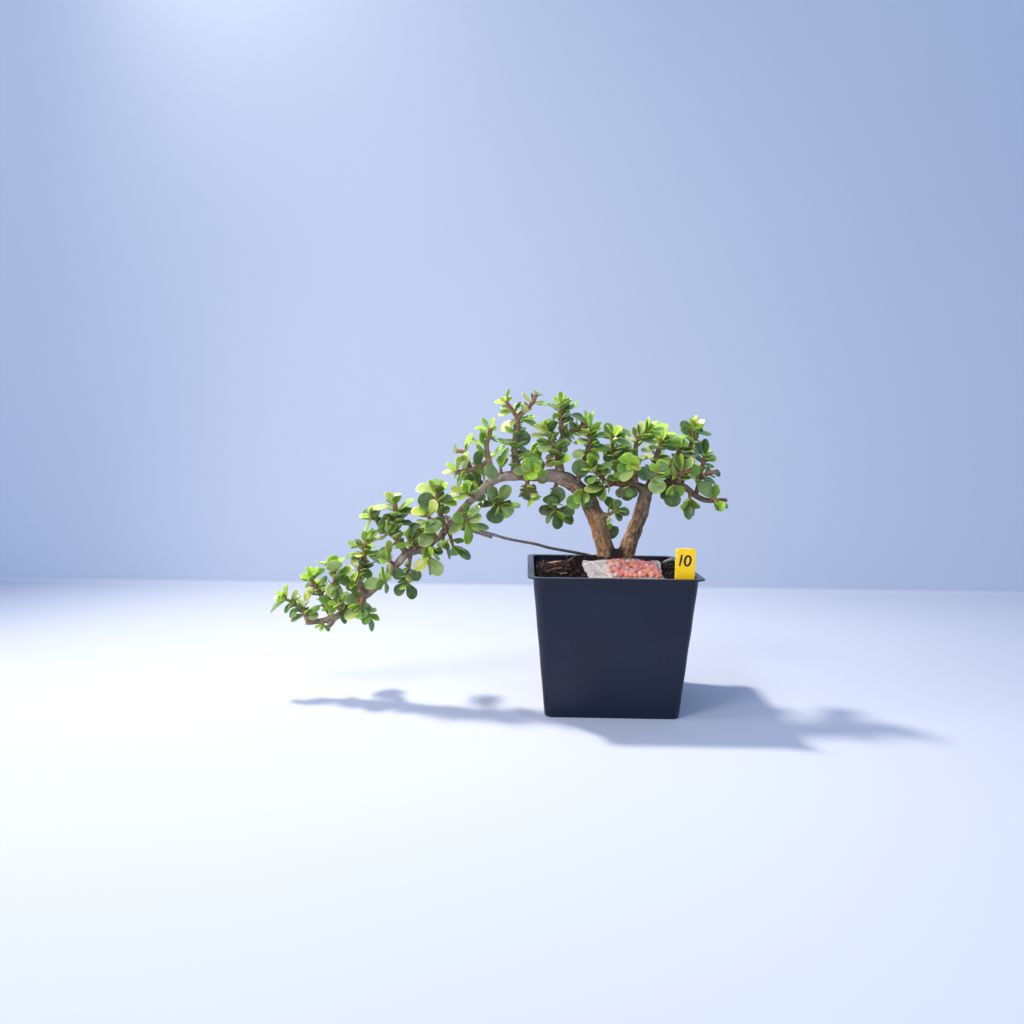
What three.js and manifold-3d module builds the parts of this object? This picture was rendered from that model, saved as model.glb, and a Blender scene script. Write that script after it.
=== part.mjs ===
// Cascade dwarf jade bonsai in a square nursery pot, with its guy wire, number label and a sachet
// of fertiliser granules lying on the soil.
// Millimetres, +Z up, +X to the right as seen from the front, -Y towards the viewer.
// The origin is the centre of the pot's underside.

import * as THREE from "three";
import { mergeVertices } from "three/addons/utils/BufferGeometryUtils.js";
import Module from "manifold-3d";

const wasm = await Module();
wasm.setup();

// Driving dimensions of the pot
const POT_HEIGHT = 108.4;
const POT_BASE = 101.7;
const POT_RIM = 130;
const POT_MOUTH = 119.4;
const POT_WALL = 1.3;
const POT_FLOOR = 2;
const RIM_THICKNESS = 1.3;
const BASE_CORNER = 6;
const RIM_CORNER = 8;
const DRAIN_RADIUS = 4.5;
const DRAIN_OFFSET = 34;
const GAP = 0.3;

// Driving dimensions of the soil: its level at the wall and the mound round the trunk
const SOIL_EDGE = 103;
const MOUND_HEIGHT = 14;
const MOUND_X = 6;
const MOUND_SPREAD = 46;
const MOUND_BACK = 40;
const MOUND_FRONT = 26;
const SOIL_CELLS = 11;
const SOIL_BUMP = 0.7;

// Driving dimensions of the foliage
const LEAF_THICKNESS = 2;
const LEAF_LONGEST = 17.5;
const LEAF_SHORTEST = 6;
const WIDTH_TO_LENGTH = 0.7;
const THICK_STEM = 2;
const THICK_STEM_SIDES = 4;
const THIN_STEM_SIDES = 3;
const TRUNK_SIDES = 7;

// The eye of the viewer. A place on a sight line is given by x and z where the line crosses the
// plane y = 0, and by its depth y.
const EYE = new THREE.Vector3(-66, -613, 200);

function place(x, z, y) {
  const onPlane = new THREE.Vector3(x, 0, z);
  const reach = (y - EYE.y) / -EYE.y;
  return onPlane.sub(EYE).multiplyScalar(reach).add(EYE);
}

// Seeded random numbers from 0 to 1
function seededRandom(seed) {
  let state = (seed * 7919 + 12345) % 4294967296;
  return () => {
    state = (state * 1664525 + 1013904223) % 4294967296;
    return state / 4294967296;
  };
}

// The two trunks with their thick branches: x, z, depth, radius at each point
const TRUNK_LIMBS = [
  // the cascade, from the soil over its bend and down to the left
  [[0, 106, 0, 7.6], [-2, 120, 0, 7.5], [-5, 130, 0, 7.1], [-8, 140, 0, 6.8], [-12, 150, 0, 7.3],
    [-16.5, 160, 0, 6.6], [-23, 169, 0, 6.3], [-32, 176, 0, 6.1], [-43, 180.5, 1, 5.8],
    [-56, 180.5, 2, 4.9], [-70, 180.5, 2, 4.3], [-84, 179.5, 0, 4], [-93, 176, 0, 3.7],
    [-100, 170.5, 0, 3.5], [-107, 164, 0, 3.2], [-113, 158, 0, 3], [-120, 150, 2, 3],
    [-127, 141, 4, 3], [-136, 131, 3, 3.2], [-150, 121, 1, 3.4], [-163, 116, 0, 3.4],
    [-171, 107.5, 0, 3.3], [-180, 96.5, 0, 3.2], [-190, 87, 0, 3.2], [-198, 80.5, 0, 3.3],
    [-210, 71, 0, 3.3], [-220, 64, 0, 3], [-230, 60.3, 0, 2.6], [-239, 58.7, 0, 2.3], [-246, 58, 0, 2]],
  // the right trunk, bending into its right branch with a cut end
  [[12, 106, 0, 7.2], [14.5, 120, 0, 6.9], [18, 130, 0, 6.3], [21.5, 140, 0, 6.1], [25, 150, 0, 5.9],
    [27.5, 160, 0, 5.6], [29.5, 167, 0, 5.2], [33, 172, 0, 4.4], [40, 174.5, 0, 3.5], [48, 176, 0, 3.1],
    [56, 174.5, 0, 2.8], [62, 171, 0, 2.6], [68, 166.5, 0, 2.4], [75, 162.8, 0, 2.2], [82, 161.8, 0, 2],
    [88, 162.4, 0, 1.8], [94, 162.6, 0, 1.8]],
  // its left branch
  [[29, 170, 0, 4], [20, 173.5, 0, 3.5], [12, 174.5, 0, 3], [3, 175.5, 2, 2.6], [-6, 176.5, 3, 2]],
  // cut stubs on the cascade and an old knot on the trunk
  [[-221, 63, 0, 2.2], [-225, 57.5, -1, 1.9], [-229, 53.5, -1, 1.8]],
  [[-162, 116, 0, 2.2], [-167, 110.5, -4, 1.8], [-172.5, 106.5, -6, 1.7]],
  [[-196, 82, -1, 2.2], [-200, 84.5, -4, 1.9], [-203, 85.5, -5, 1.8]],
  [[-10, 147.5, 0, 5.4], [-4, 148.5, -2, 3.4], [-1.5, 148.8, -2.5, 2.4]],
];

// The leafy stems. Each has its name, its leaf length, its stems as points of x, z, depth and
// radius, and its leaves: the number of the stem point that a leaf grows from, x and z of its tip,
// whether it leans towards the viewer (-1), away (1) or neither (0), and how wide it looks.
const SPRAYS = [
  ["spray_tip", 11,
    [[[-244, 58.5, 0, 2], [-246.5, 65, 0, 2.1], [-250.5, 71, 0, 1.8], [-257, 75, -1, 1.5],
      [-263, 77.5, -2, 1.2]]],
    [[4, -275, 66.5, 0, 3], [4, -272.5, 78, -1, 5.5], [4, -271.5, 83.5, 0, 3], [4, -261, 90, 0, 3],
      [3, -252, 85, 0, 4.5], [3, -250.5, 80.5, 1, 4], [3, -263.5, 66, 0, 4], [2, -259.5, 62.5, 0, 5],
      [2, -248.5, 77, -1, 7], [1, -258.5, 59.5, 0, 5], [0, -235.5, 64, -1, 7.5], [1, -234, 71, 0, 5.5]]],
  ["spray_star", 11,
    [[[-224, 63, 3, 2.2], [-230, 72, 5, 2], [-233, 81, 5, 1.9], [-237, 88, 2, 1.7], [-240.5, 93, 0, 1.4],
      [-241, 97, -1, 1]]],
    [[4, -250, 97.5, 0, 4.5], [5, -245.5, 104.5, 0, 2.5], [4, -229.5, 102, 0, 4.5], [5, -235, 105, 1, 3],
      [5, -240, 104, -1, 5], [3, -247, 76.5, -1, 6.5], [4, -246.5, 87.5, 0, 3], [3, -228, 96, 0, 5],
      [3, -228, 91.5, 1, 4.5], [2, -244, 84, 1, 4]]],
  ["spray_far_fork", 15,
    [[[-212, 70, 0, 2.7], [-219, 76, 0, 2.5], [-222.5, 84, 0, 2.1], [-221.5, 94, -1, 1.8],
      [-222, 100, -1, 1.5], [-225, 108, 1, 1.2]]],
    [[4, -223, 110, -1, 12.5], [3, -223.5, 79, -1, 14], [3, -207, 104, 0, 7], [3, -209, 91.5, 0, 6.5],
      [3, -232.5, 90.5, 1, 5], [5, -213, 111, 0, 3.5], [1, -211.5, 84.5, 1, 4.5]]],
  ["spray_far_low", 14,
    [[[-214, 67, -3, 1.7], [-219.5, 70.5, -7, 1.3], [-221, 74, -9, 1]]],
    [[1, -235, 79.5, 0, 7.5], [1, -227.5, 65.5, 0, 4.5], [0, -213.5, 57.5, 0, 4.5], [2, -215, 82, 1, 4]]],
  ["spray_far_under", 8,
    [[[-231, 60, -1, 1.4], [-233, 56, -3, 1.1]]],
    [[1, -233.3, 50.8, 0, 3.5], [1, -238, 53.5, 0, 2.5], [1, -227.5, 51, 1, 3]]],
  ["spray_low_node", 14,
    [[[-199, 79, -2, 1.8], [-200.5, 73.5, -6, 1.4], [-201, 70, -8, 1.1]],
      [[-200.5, 73.5, -6, 1.3], [-197, 69, -3, 1.2], [-193.5, 65, -1, 1]]],
    [[1, -213.5, 61.5, 0, 8.5], [1, -213.5, 79.5, -1, 8.5], [5, -198.5, 72.5, -1, 9],
      [5, -191.3, 51.5, 0, 4.5], [5, -185.5, 61, 0, 4.5], [0, -191.5, 71.5, 1, 2.5]]],
  ["spray_fork", 14,
    [[[-198, 81, 0, 2.6], [-201.5, 91, 0, 2.3], [-202, 101, 0, 2.2], [-198.5, 110, 0, 2.1],
      [-197, 117, -1, 1.9], [-197, 123, -1, 1.6], [-194, 127, -1, 1.1]],
    [[-202, 91, -1, 1.2], [-205, 92, -4, 1], [-207, 93.5, -6, 0.8]]],
    [[4, -208, 106, -1, 6.5], [4, -176.5, 113, 0, 7.5], [4, -184, 107.5, 1, 2.5], [4, -213, 112, 1, 3.5],
      [4, -204.5, 113, -1, 5], [5, -211.5, 125, 0, 4], [5, -209, 119.5, 0, 3.5], [6, -186, 134.5, 0, 3.5],
      [6, -200, 132.5, -1, 6], [5, -180, 129, 0, 3], [6, -191, 137, 1, 4], [2, -190, 107, 1, 4],
      [2, -191, 98, 1, 8], [9, -210, 97, 0, 2.5], [9, -203, 99.5, -1, 3], [8, -209.5, 87, 0, 3],
      [9, -213, 92.5, 0, 3]]],
  ["spray_crook", 15,
    [[[-181, 96, -2, 1.9], [-180.5, 93.5, -7, 1.5], [-181, 93.5, -12, 1.1]]],
    [[1, -202.5, 90, 0, 9.5], [1, -176.5, 107, 0, 3.5], [1, -184, 104.5, -1, 3], [0, -179.5, 83, 0, 3.5]]],
  ["spray_crook_upper", 14,
    [[[-173, 107, -2, 1.6], [-177, 110, -6, 1.4], [-178.5, 111, -9, 1.1]]],
    [[2, -191, 98.5, 0, 7.5], [2, -178, 127, 0, 6], [1, -187, 117, 1, 4]]],
  ["spray_hanging", 12.5,
    [[[-160, 115, -3, 1.8], [-161.5, 105, -6, 1.5], [-163, 97, -7, 1.3], [-163, 91, -7, 1]]],
    [[2, -174.5, 101, 0, 9.5], [2, -151, 99.5, 0, 9.5], [3, -172.5, 82.5, 0, 9], [3, -157, 79, 0, 9]]],
  ["spray_upright_stub", 14,
    [[[-164, 118, 1, 2.6], [-169, 124, 0, 2.4], [-172.5, 132, 0, 2.3], [-171, 142, 0, 2.1],
      [-171.5, 150, 0, 1.9], [-172.5, 155.5, 0, 1.8], [-173, 161, 0, 1.8]],
    [[-172, 129, 0, 2.2], [-178, 133.5, 0, 2.2], [-184, 138, 0, 2.1], [-187.5, 144, 0, 1.9],
      [-188.5, 151, 0, 1.8]],
    [[-187.5, 143, -1, 1.3], [-191, 144.5, -3, 1.2], [-193, 146, -4, 0.9]]],
    [[5, -190.5, 151.5, 0, 4.5], [5, -180.5, 166, 0, 6], [4, -156.5, 160.5, 0, 4], [4, -157, 151, 0, 5.5],
      [3, -182.5, 147, 0, 6], [3, -158.5, 140.5, 0, 4.5], [3, -180, 134, -1, 8.5],
      [2, -161, 131, 0, 2.5], [14, -201.5, 146.5, 0, 4], [13, -198, 134, 0, 2.5], [14, -194, 153, 0, 3],
      [8, -187, 125, 0, 4], [9, -183, 146, 1, 4]]],
  ["spray_arm_low", 13,
    [[[-155, 120.5, -2, 1.7], [-160, 126, -4, 1.4], [-163, 130, -5, 1.1]]],
    [[1, -149.5, 134, 0, 5], [2, -151.5, 140, 0, 3], [1, -172, 121, 1, 5]]],
  ["spray_arm_top", 14,
    [[[-131.5, 136, 2, 2.5], [-136, 149, 2, 2.1], [-138, 159, 0, 1.9], [-138.5, 165.5, 0, 1.7],
      [-138.5, 172, 0, 1.6]]],
    [[3, -156.5, 169.5, 0, 9], [3, -145, 176, 0, 4.5], [3, -130, 174, 0, 4.5], [2, -122, 165, 0, 5.5],
      [2, -122.5, 156.5, 0, 7], [1, -128, 153.5, -1, 6]]],
  ["spray_arm_face", 15,
    [[[-140, 129, -3, 2], [-143, 138, -6, 1.7], [-145, 146, -9, 1.5], [-146, 150, -11, 1.1]]],
    [[3, -148, 167, 0, 13.5], [3, -159.5, 151, 0, 7], [3, -138.5, 158.5, -1, 9], [2, -139, 134, -1, 14],
      [1, -155.5, 138, 1, 4], [0, -152, 119.5, -1, 11.5]]],
  ["spray_arm_under", 13,
    [[[-142, 126, -3, 1.6], [-143.5, 119, -7, 1.3], [-145, 112.5, -9, 1.1]]],
    [[2, -142.5, 121.5, -1, 5.5], [2, -156.5, 103, 0, 9], [2, -135.5, 98.5, 0, 11], [1, -133.5, 117.5, 0, 6],
      [2, -143.5, 98.5, 1, 2.5], [1, -151, 119, 1, 4]]],
  ["spray_arm_drop", 15,
    [[[-133, 135, 3, 1.6], [-133.5, 127, -2, 1.1]]],
    [[1, -127.5, 110, 0, 2.5], [1, -129.5, 116, 1, 2.5]]],
  ["spray_wire_node", 13,
    [[[-119, 151, -3, 1.8], [-115.5, 146, -8, 1.5], [-113, 140.5, -10, 1.3]]],
    [[2, -125.5, 148, 0, 9], [2, -129, 133, 0, 7], [2, -113.5, 121.5, 0, 7.5], [1, -103.5, 155, -1, 6.5],
      [2, -102.5, 148, 0, 7], [2, -96.5, 137.5, 0, 5.5], [1, -115.5, 157.5, -1, 5.5]]],
  ["spray_drop", 16,
    [[[-129.5, 138, 3, 1.8], [-127, 128, -3, 1.4], [-125, 121.5, -5, 1.1]]],
    [[2, -110, 111.5, 0, 7], [1, -116.5, 127, 0, 4]]],
  ["spray_yellow_node", 12,
    [[[-109, 163, -2, 1.7], [-113.5, 165.5, -6, 1.4], [-116.5, 167, -7, 1.1]]],
    [[2, -113.5, 176.5, 0, 7], [2, -128, 169, 0, 6], [1, -125, 160.5, 0, 4], [1, -103.5, 168.5, 1, 3]]],
  ["spray_round_leaves", 15,
    [[[-101, 169, 3, 1.7], [-95, 164, 3, 1.5], [-89.5, 157.5, -1, 1.4], [-87, 155, -3, 1.1]]],
    [[2, -98, 171.5, -1, 9], [2, -79, 173.5, 0, 10], [2, -92.5, 141.5, 0, 14], [3, -76.5, 151, 0, 9],
      [3, -71, 156, 1, 5], [2, -106, 156, 0, 5.5]]],
  ["spray_narrow_leaf", 14,
    [[[-87, 182, -2, 1.4], [-87.5, 187.5, -4, 1.1]]],
    [[1, -81, 204.5, 0, 4.5], [1, -82, 193.5, 1, 3.5]]],
  ["spray_red_stub", 15,
    [[[-93, 177, -1, 2.6], [-95, 186, -2, 2.4], [-97, 192.5, -3, 2.2], [-99, 204, -1, 1.9],
      [-97, 211, 0, 1.9], [-95.5, 218, 0, 1.7]],
    [[-97, 192, -3, 2.1], [-104, 187.5, -3, 2.1], [-111, 184.5, -2, 2], [-118, 183, -2, 2],
      [-124, 182.5, -2, 2]],
    [[-111, 185, -1, 1.6], [-117, 198, 4, 1.6], [-123, 199.5, 5, 1.7]]],
    [[2, -107, 204.5, 0, 4.5], [2, -81.5, 207.5, 0, 4], [5, -109, 217.5, 0, 3], [5, -91, 218.5, 0, 4],
      [5, -103, 226, 0, 3.5], [5, -93, 226.5, 0, 3], [3, -112.5, 210, 0, 3], [3, -105, 213, -1, 5],
      [4, -91, 208.5, 1, 3], [2, -94, 176.5, -1, 10], [7, -100, 176.5, 1, 3.5], [8, -104.5, 174.5, 0, 6],
      [9, -121.5, 171, 0, 3.5], [7, -107.5, 199, -1, 9], [9, -114, 199, 0, 6.5], [10, -134.5, 182, 0, 3.5],
      [10, -131, 190, 0, 4], [10, -122.5, 195, -1, 4.5], [12, -110.5, 214, 0, 4.5]]],
  ["spray_tall_fork", 15,
    [[[-75, 182, 0, 4.4], [-75.5, 190, 0, 3.6], [-76, 197, 0, 2.8], [-76.5, 205, 0, 2.5],
      [-75, 216, 0, 2.4], [-74, 226.5, 0, 2.3], [-67.5, 233, 0, 1.8], [-62.5, 238.5, 0, 1.6],
      [-59.5, 245, 0, 1.6]],
    [[-74.5, 226, -1, 1.8], [-79, 233, -1, 1.5], [-84, 239.5, -1, 1.4]]],
    [[10, -88, 234.5, 0, 4], [10, -72, 237, 0, 4], [9, -90, 228, 0, 4.5], [5, -60, 227.5, 0, 3.5],
      [5, -58.5, 219.5, 0, 4.5], [5, -88, 215, 0, 7], [4, -84.5, 217, -1, 5.5], [4, -65.5, 206, 0, 11.5],
      [4, -65, 213.5, 1, 5], [3, -66, 200.5, 1, 3.5], [3, -90.5, 208.5, 0, 4], [7, -50.5, 237, 0, 2.5],
      [7, -71, 246, 0, 2.2], [11, -88.5, 242, 0, 3], [11, -79, 242.5, 0, 2.5]]],
  ["spray_bend_face", 14,
    [[[-62, 182, 0, 2], [-62, 184.5, -6, 1.6], [-62, 186, -13, 1.1]]],
    [[1, -64, 199.5, 0, 13], [2, -68.5, 193, -1, 5.5], [2, -54.5, 192.5, 0, 5], [1, -68, 177, 0, 6],
      [1, -50.5, 180.5, 0, 6], [1, -77, 183.5, 1, 8]]],
  ["spray_bend_under", 12,
    [[[-66, 178, -2, 2], [-65.5, 170, -5, 1.5], [-62, 163, -5, 1.2]]],
    [[1, -70, 167, -1, 5.5], [1, -58.5, 170, 0, 7], [1, -66, 160.5, 1, 8]]],
  ["spray_crown_left", 14,
    [[[-40, 184, 0, 4], [-41, 192, 0, 3.1], [-42, 200, 0, 2.6], [-45.5, 206, 0, 2.1], [-48, 214, 0, 1.6],
      [-49, 219, 0, 1.2]],
    [[-42, 198, 1, 2.2], [-40, 206, 4, 2.1], [-38, 212, 4, 2], [-32, 215.5, 3, 2], [-24, 219, 1, 2.2],
      [-16.5, 221.5, 0, 2.3]],
    [[-38, 211, 4, 1.9], [-39.5, 222, 3, 1.7], [-40, 231, 2, 1.6], [-40, 238.5, 1, 1.2]]],
    [[4, -63.5, 212, 0, 4], [5, -61, 219, -1, 5.5], [5, -43.5, 224, 0, 5.5], [5, -54, 222, -1, 4],
      [3, -59, 208.5, 0, 5], [3, -32.5, 208, 0, 6], [3, -57, 200.5, -1, 8.5], [2, -34, 203, 0, 6],
      [2, -50, 193, -1, 4.5], [1, -52, 189, 0, 6.5], [1, -31.5, 195, -1, 7], [15, -46.5, 243, 0, 3.5],
      [15, -37, 246, 0, 3], [15, -42, 247, -1, 3.5], [14, -25.5, 240, 0, 3.5], [14, -52.5, 238.5, 0, 3],
      [14, -46.5, 225.5, 0, 4], [13, -55.5, 222, 0, 3.5], [13, -29.5, 226, 0, 4.5], [13, -33, 230, 1, 3],
      [11, -31.5, 229.5, 0, 5], [10, -33, 221, -1, 5.5], [11, -21.5, 233, 0, 2.5], [11, -13.5, 232.5, 0, 2.5],
      [8, -31, 209, 1, 5]]],
  ["spray_crown_mid", 14,
    [[[-26, 173, -3, 2.3], [-24, 185, 1, 2.1], [-20.5, 194, 0, 1.9], [-17.5, 201, -2, 1.7],
      [-16.5, 210, -3, 1.4], [-16, 218, -3, 1.2]]],
    [[5, -26.5, 214, 0, 4], [5, -9, 221, 0, 4.5], [4, -25.5, 206, -1, 6], [4, -29.5, 207, 1, 3],
      [4, 0, 213, 0, 4], [4, -8.5, 205.5, 0, 4.5], [3, -30, 196, 0, 7.5], [3, -1.5, 203, 0, 6.5],
      [3, -8.5, 195.5, 1, 6], [5, -18, 230, 1, 4]]],
  ["spray_crown_face", 16,
    [[[-4, 177, -1, 1.8], [-9, 182, -7, 1.5], [-14, 187, -10, 1.2]]],
    [[2, -31.5, 188, 0, 13], [2, -17, 199, 0, 6.5], [2, 2.5, 190.5, 0, 4.5], [1, 1, 185, 0, 5.5],
      [1, -15, 174.5, -1, 5]]],
  ["spray_crown_back", 15,
    [[[5, 176, 3, 2], [5, 190, 6, 1.8], [2.5, 202, 5, 1.5], [1, 210, 3, 1.3], [2, 214, 2, 1]]],
    [[4, -4, 223, -1, 7.5], [4, 7.5, 218.5, -1, 4.5], [4, 16, 214.5, 0, 7.5], [3, 18.5, 203.5, 0, 4.5],
      [2, 15.5, 196, 0, 11], [2, -4, 192, 0, 8], [3, -10, 216, 1, 4]]],
  ["spray_inner_short", 10,
    [[[7, 175, -2, 1.6], [5.5, 178.5, -6, 1.2]]],
    [[1, 9.5, 185.5, 0, 4], [1, -2, 180.5, 1, 5]]],
  ["spray_inner_left", 13,
    [[[2, 174, 0, 1.6], [-5, 171.5, -7, 1.2]]],
    [[1, -20.5, 168.5, -1, 6.5], [1, -20.5, 178, 0, 8], [1, -6, 160.5, 0, 7], [0, -14, 164.5, 1, 7]]],
  ["spray_crotch", 12,
    [[[-6, 148.5, -3, 2.6], [-1, 149.5, -5, 1.6], [4, 152.5, -6, 1.1], [6, 154.5, -6, 0.9]]],
    [[3, 8, 162, 0, 6.5], [3, 16.5, 151.5, 0, 7], [2, 10, 145, 0, 5.5], [2, -2.5, 164.5, 0, 7.5]]],
  ["spray_behind_trunk", 13,
    [[[-4, 142, 3, 1.9], [-3, 140.5, 10, 1.4]]],
    [[1, 6.5, 132.5, 0, 12], [1, -9, 130, 1, 8]]],
  ["spray_shade", 13,
    [[[-42, 176, 4, 1.8], [-45, 166, 7, 1.5], [-44, 156, 3, 1.2], [-43, 151, -1, 1]]],
    [[2, -39.5, 171.5, 0, 12], [3, -47, 164, -1, 9], [3, -56.5, 153, 0, 8.5], [3, -50.5, 142.5, 1, 5],
      [3, -27.5, 152, 0, 9.5], [3, -40.5, 137.5, 0, 9], [3, -28.5, 142.5, 0, 8.5]]],
  ["spray_bend_leaf", 14,
    [[[-22, 168, -6, 1.6], [-22, 166, -10, 1.2]]],
    [[1, -32.5, 155.5, 0, 12], [1, -15.5, 155.5, 0, 8]]],
  ["spray_right_young", 14,
    [[[20, 175, 0, 2.7], [20.3, 191, 0, 2.2], [20, 203, 0, 1.8], [21, 210, -1, 1.5], [24, 214, -2, 1.2]],
      [[21, 209, -1, 1.3], [26, 213, 1, 1.2], [30.5, 217, 1, 1.1]],
      [[20.3, 190, 0, 1.5], [18.5, 190, -5, 1.4], [17.5, 190, -10, 1.1]]],
    [[3, 17.5, 220, 0, 4], [4, 26, 224, -1, 7], [7, 38, 225, 0, 4], [7, 46.5, 222.5, 0, 5.5],
      [7, 28.5, 226, 0, 3], [3, 36.5, 207.5, 0, 4.5], [3, 12.5, 211.5, 0, 3], [10, 10, 175.5, -1, 8.5],
      [10, 6.5, 195, 0, 5], [10, 22.5, 185.5, -1, 5], [1, 28, 198, 1, 5]]],
  ["spray_right_top", 15,
    [[[31, 171, 3, 3.2], [34, 184, 4, 2.6], [37, 196, 4, 2.3], [40, 208, 2, 1.8], [41, 211, 1, 1.2]]],
    [[3, 33, 218, 0, 6], [4, 52, 215.5, 0, 5], [4, 45.5, 218, -1, 4], [3, 56, 207, 0, 6.5],
      [3, 24.5, 201, 0, 5.5], [2, 23, 194.5, 0, 4.5], [2, 46.5, 189, -1, 8]]],
  ["spray_right_back", 14,
    [[[46, 176, 3, 2.5], [50, 188, 6, 2], [54, 200, 5, 1.6], [56, 204, 4, 1.2]]],
    [[3, 44.5, 204, 0, 5], [3, 57.5, 211, 0, 4], [3, 66.5, 202.5, 0, 3], [2, 70, 197, 0, 4.5],
      [2, 66, 190.5, 0, 6], [1, 42, 196, 1, 6]]],
  ["spray_right_tall", 13,
    [[[57, 175, 4, 2.3], [60, 190, 8, 2], [63, 203, 6, 1.7], [65, 213, 3, 1.5], [65.5, 218, 1, 1.2],
      [68, 222, 0, 1]]],
    [[4, 54.5, 223.5, 0, 7], [5, 67.5, 230, 0, 3], [5, 74, 226.5, 0, 4], [4, 80, 215, 0, 3.5],
      [3, 55, 219, 0, 3.5], [3, 51.5, 212, 0, 3], [3, 72.5, 200, 1, 5.5], [5, 62, 226.5, -1, 3]]],
  ["spray_right_far", 12,
    [[[69, 167, 3, 1.9], [72, 180, 5, 1.7], [74, 192, 5, 1.5], [75, 199, 4, 1.2]],
      [[72, 180, 5, 1.5], [77.5, 183.5, 1, 1.7], [83.5, 185, -1, 1.8]]],
    [[3, 76, 211, 0, 6], [3, 84.5, 195, 0, 6], [3, 63.5, 205, 1, 5], [1, 66, 190, 0, 6],
      [2, 83, 189, 0, 2.5], [1, 84.5, 175.5, 0, 4], [2, 69, 199, 1, 3]]],
  ["spray_right_face", 15,
    [[[54, 176, -2, 2.6], [56.5, 182, -6, 2.2], [57, 187, -9, 1.6]],
      [[57, 183, -6, 1.8], [61, 185, -9, 1.8], [65, 186.5, -10, 1.8]]],
    [[2, 51, 198, 0, 5], [2, 66.5, 195, -1, 6.5], [2, 57, 199, -1, 3], [1, 39.5, 187.5, 0, 8],
      [1, 71, 179, 0, 4.5]]],
  ["spray_right_inner", 15,
    [[[33, 175, -4, 1.9], [36, 181, -9, 1.5], [38.5, 185, -12, 1.2]]],
    [[2, 32, 191, 0, 5.5], [2, 22, 183, 0, 11], [2, 38, 167, -1, 13.5], [1, 48, 181.5, 1, 5]]],
  ["spray_right_drop", 16,
    [[[49, 176, -2, 1.8], [50.5, 173, -6, 1.3]]],
    [[1, 51, 156.5, 0, 13], [0, 41.5, 163, 1, 6]]],
  ["spray_right_under", 11,
    [[[14, 174, -3, 1.6], [14.5, 171, -7, 1.2]]],
    [[1, 5.5, 165, 0, 8], [1, 21.5, 164.5, 0, 8], [1, 14, 161, 1, 9]]],
  ["spray_right_twig", 14,
    [[[64, 169, -1, 1.6], [64.3, 164, -3, 1.3], [64, 160, -4, 1]]],
    [[2, 63.7, 146.5, 0, 7], [2, 68, 150, 1, 3]]],
  ["spray_right_end", 12,
    [[[80, 162, -1, 1.8], [84, 163.5, -4, 1.5], [88, 161, -5, 1.1]]],
    [[0, 71, 176.5, 0, 11], [1, 85.5, 175, 0, 5.5], [1, 87.5, 153.5, 0, 3], [2, 95, 156.5, 0, 4]]],
];

// Stems that leave the back of the trunks, placed by a rule: foot on the limb (x and z), lean in x,
// rise in z, reach away from the viewer
const BACK_STEMS = [
  ["spray_back_far", -205, 75, -8, 14, 26],
  ["spray_back_arm", -150, 121, -6, 12, 30],
  ["spray_back_slope", -107, 164, -6, 14, 28],
  ["spray_back_bend", -58, 181, -6, 16, 30],
  ["spray_back_crown", 14, 175, -4, 22, 32],
  ["spray_back_right", 52, 176, 6, 16, 30],
];

// Guy wire: from the soil beside the trunk to a loop round the cascade, with its end turned back
const WIRE_RADIUS = 0.9;
const WIRE_SIDES = 6;
const WIRE_STEPS = 34;
const WIRE_POINTS = [
  [-13, 106, 10], [-15, 114, 10], [-19, 118, 9], [-26, 119, 8], [-40, 121, 8], [-50, 123, 7],
  [-60, 125.5, 7], [-80, 129, 6], [-90, 131.5, 5], [-100, 134.5, 3], [-108, 137.3, 0.5],
  [-116, 140.5, -1.4], [-122, 142.3, -3.2], [-126.6, 144.6, -3.4], [-130.4, 146.6, 0],
  [-131.6, 146.2, 5], [-129.3, 142.6, 9.2], [-124.9, 138.3, 9.4], [-120, 137.2, 5.6],
  [-112, 135.6, 3.6], [-104, 133.2, 5], [-94, 130.2, 7.6],
];

// Number label standing inside the front wall
const LABEL_WIDTH = 14.5;
const LABEL_THICKNESS = 1;
const LABEL_X = 49.9;
const LABEL_ABOVE_RIM = 22.2;
const LABEL_LENGTH = 74;
const LABEL_TAPER = 45;
const LABEL_FOOT_X = -4;
const LABEL_CORNER = 2;
const LABEL_TO_WALL = 1.8;

// Fertiliser sachet lying on the front slope of the soil
const SACHET_LEFT = -21.5;
const SACHET_RIGHT = 37.5;
const SACHET_BACK = -10.5;
const SACHET_FRONT = -51;
const SACHET_FILM = 0.7;
const SACHET_THICKNESS = 8.5;
const SACHET_SEAM = 2.2;
const SACHET_LIFT = 1.6;
const SACHET_CELLS_X = 8;
const SACHET_CELLS_Y = 6;
const HEAP_LEFT = 0.4;
const HEAP_RIGHT = 0.865;
const HEAP_FRONT = 0.12;
const HEAP_CLEAR = 0.8;
const GRANULE_CELLS_X = 12;
const GRANULE_CELLS_Y = 9;
const GRANULE_RISE = 1.5;
const GRANULE_SWAY = 0.8;

// A closed geometry as a solid for cutting and joining
function toSolid(geometry) {
  const bare = geometry.clone();
  bare.deleteAttribute("normal");
  bare.deleteAttribute("uv");
  const merged = mergeVertices(bare, 1e-4);
  const vertProperties = new Float32Array(merged.attributes.position.array);
  const triVerts = new Uint32Array(merged.index.array);
  return new wasm.Manifold(new wasm.Mesh({ numProp: 3, vertProperties, triVerts }));
}

function toGeometry(solid) {
  const mesh = solid.getMesh();
  const geometry = new THREE.BufferGeometry();
  geometry.setAttribute("position", new THREE.BufferAttribute(mesh.vertProperties, 3));
  geometry.setIndex(new THREE.BufferAttribute(mesh.triVerts, 1));
  geometry.computeVertexNormals();
  return geometry;
}

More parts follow.
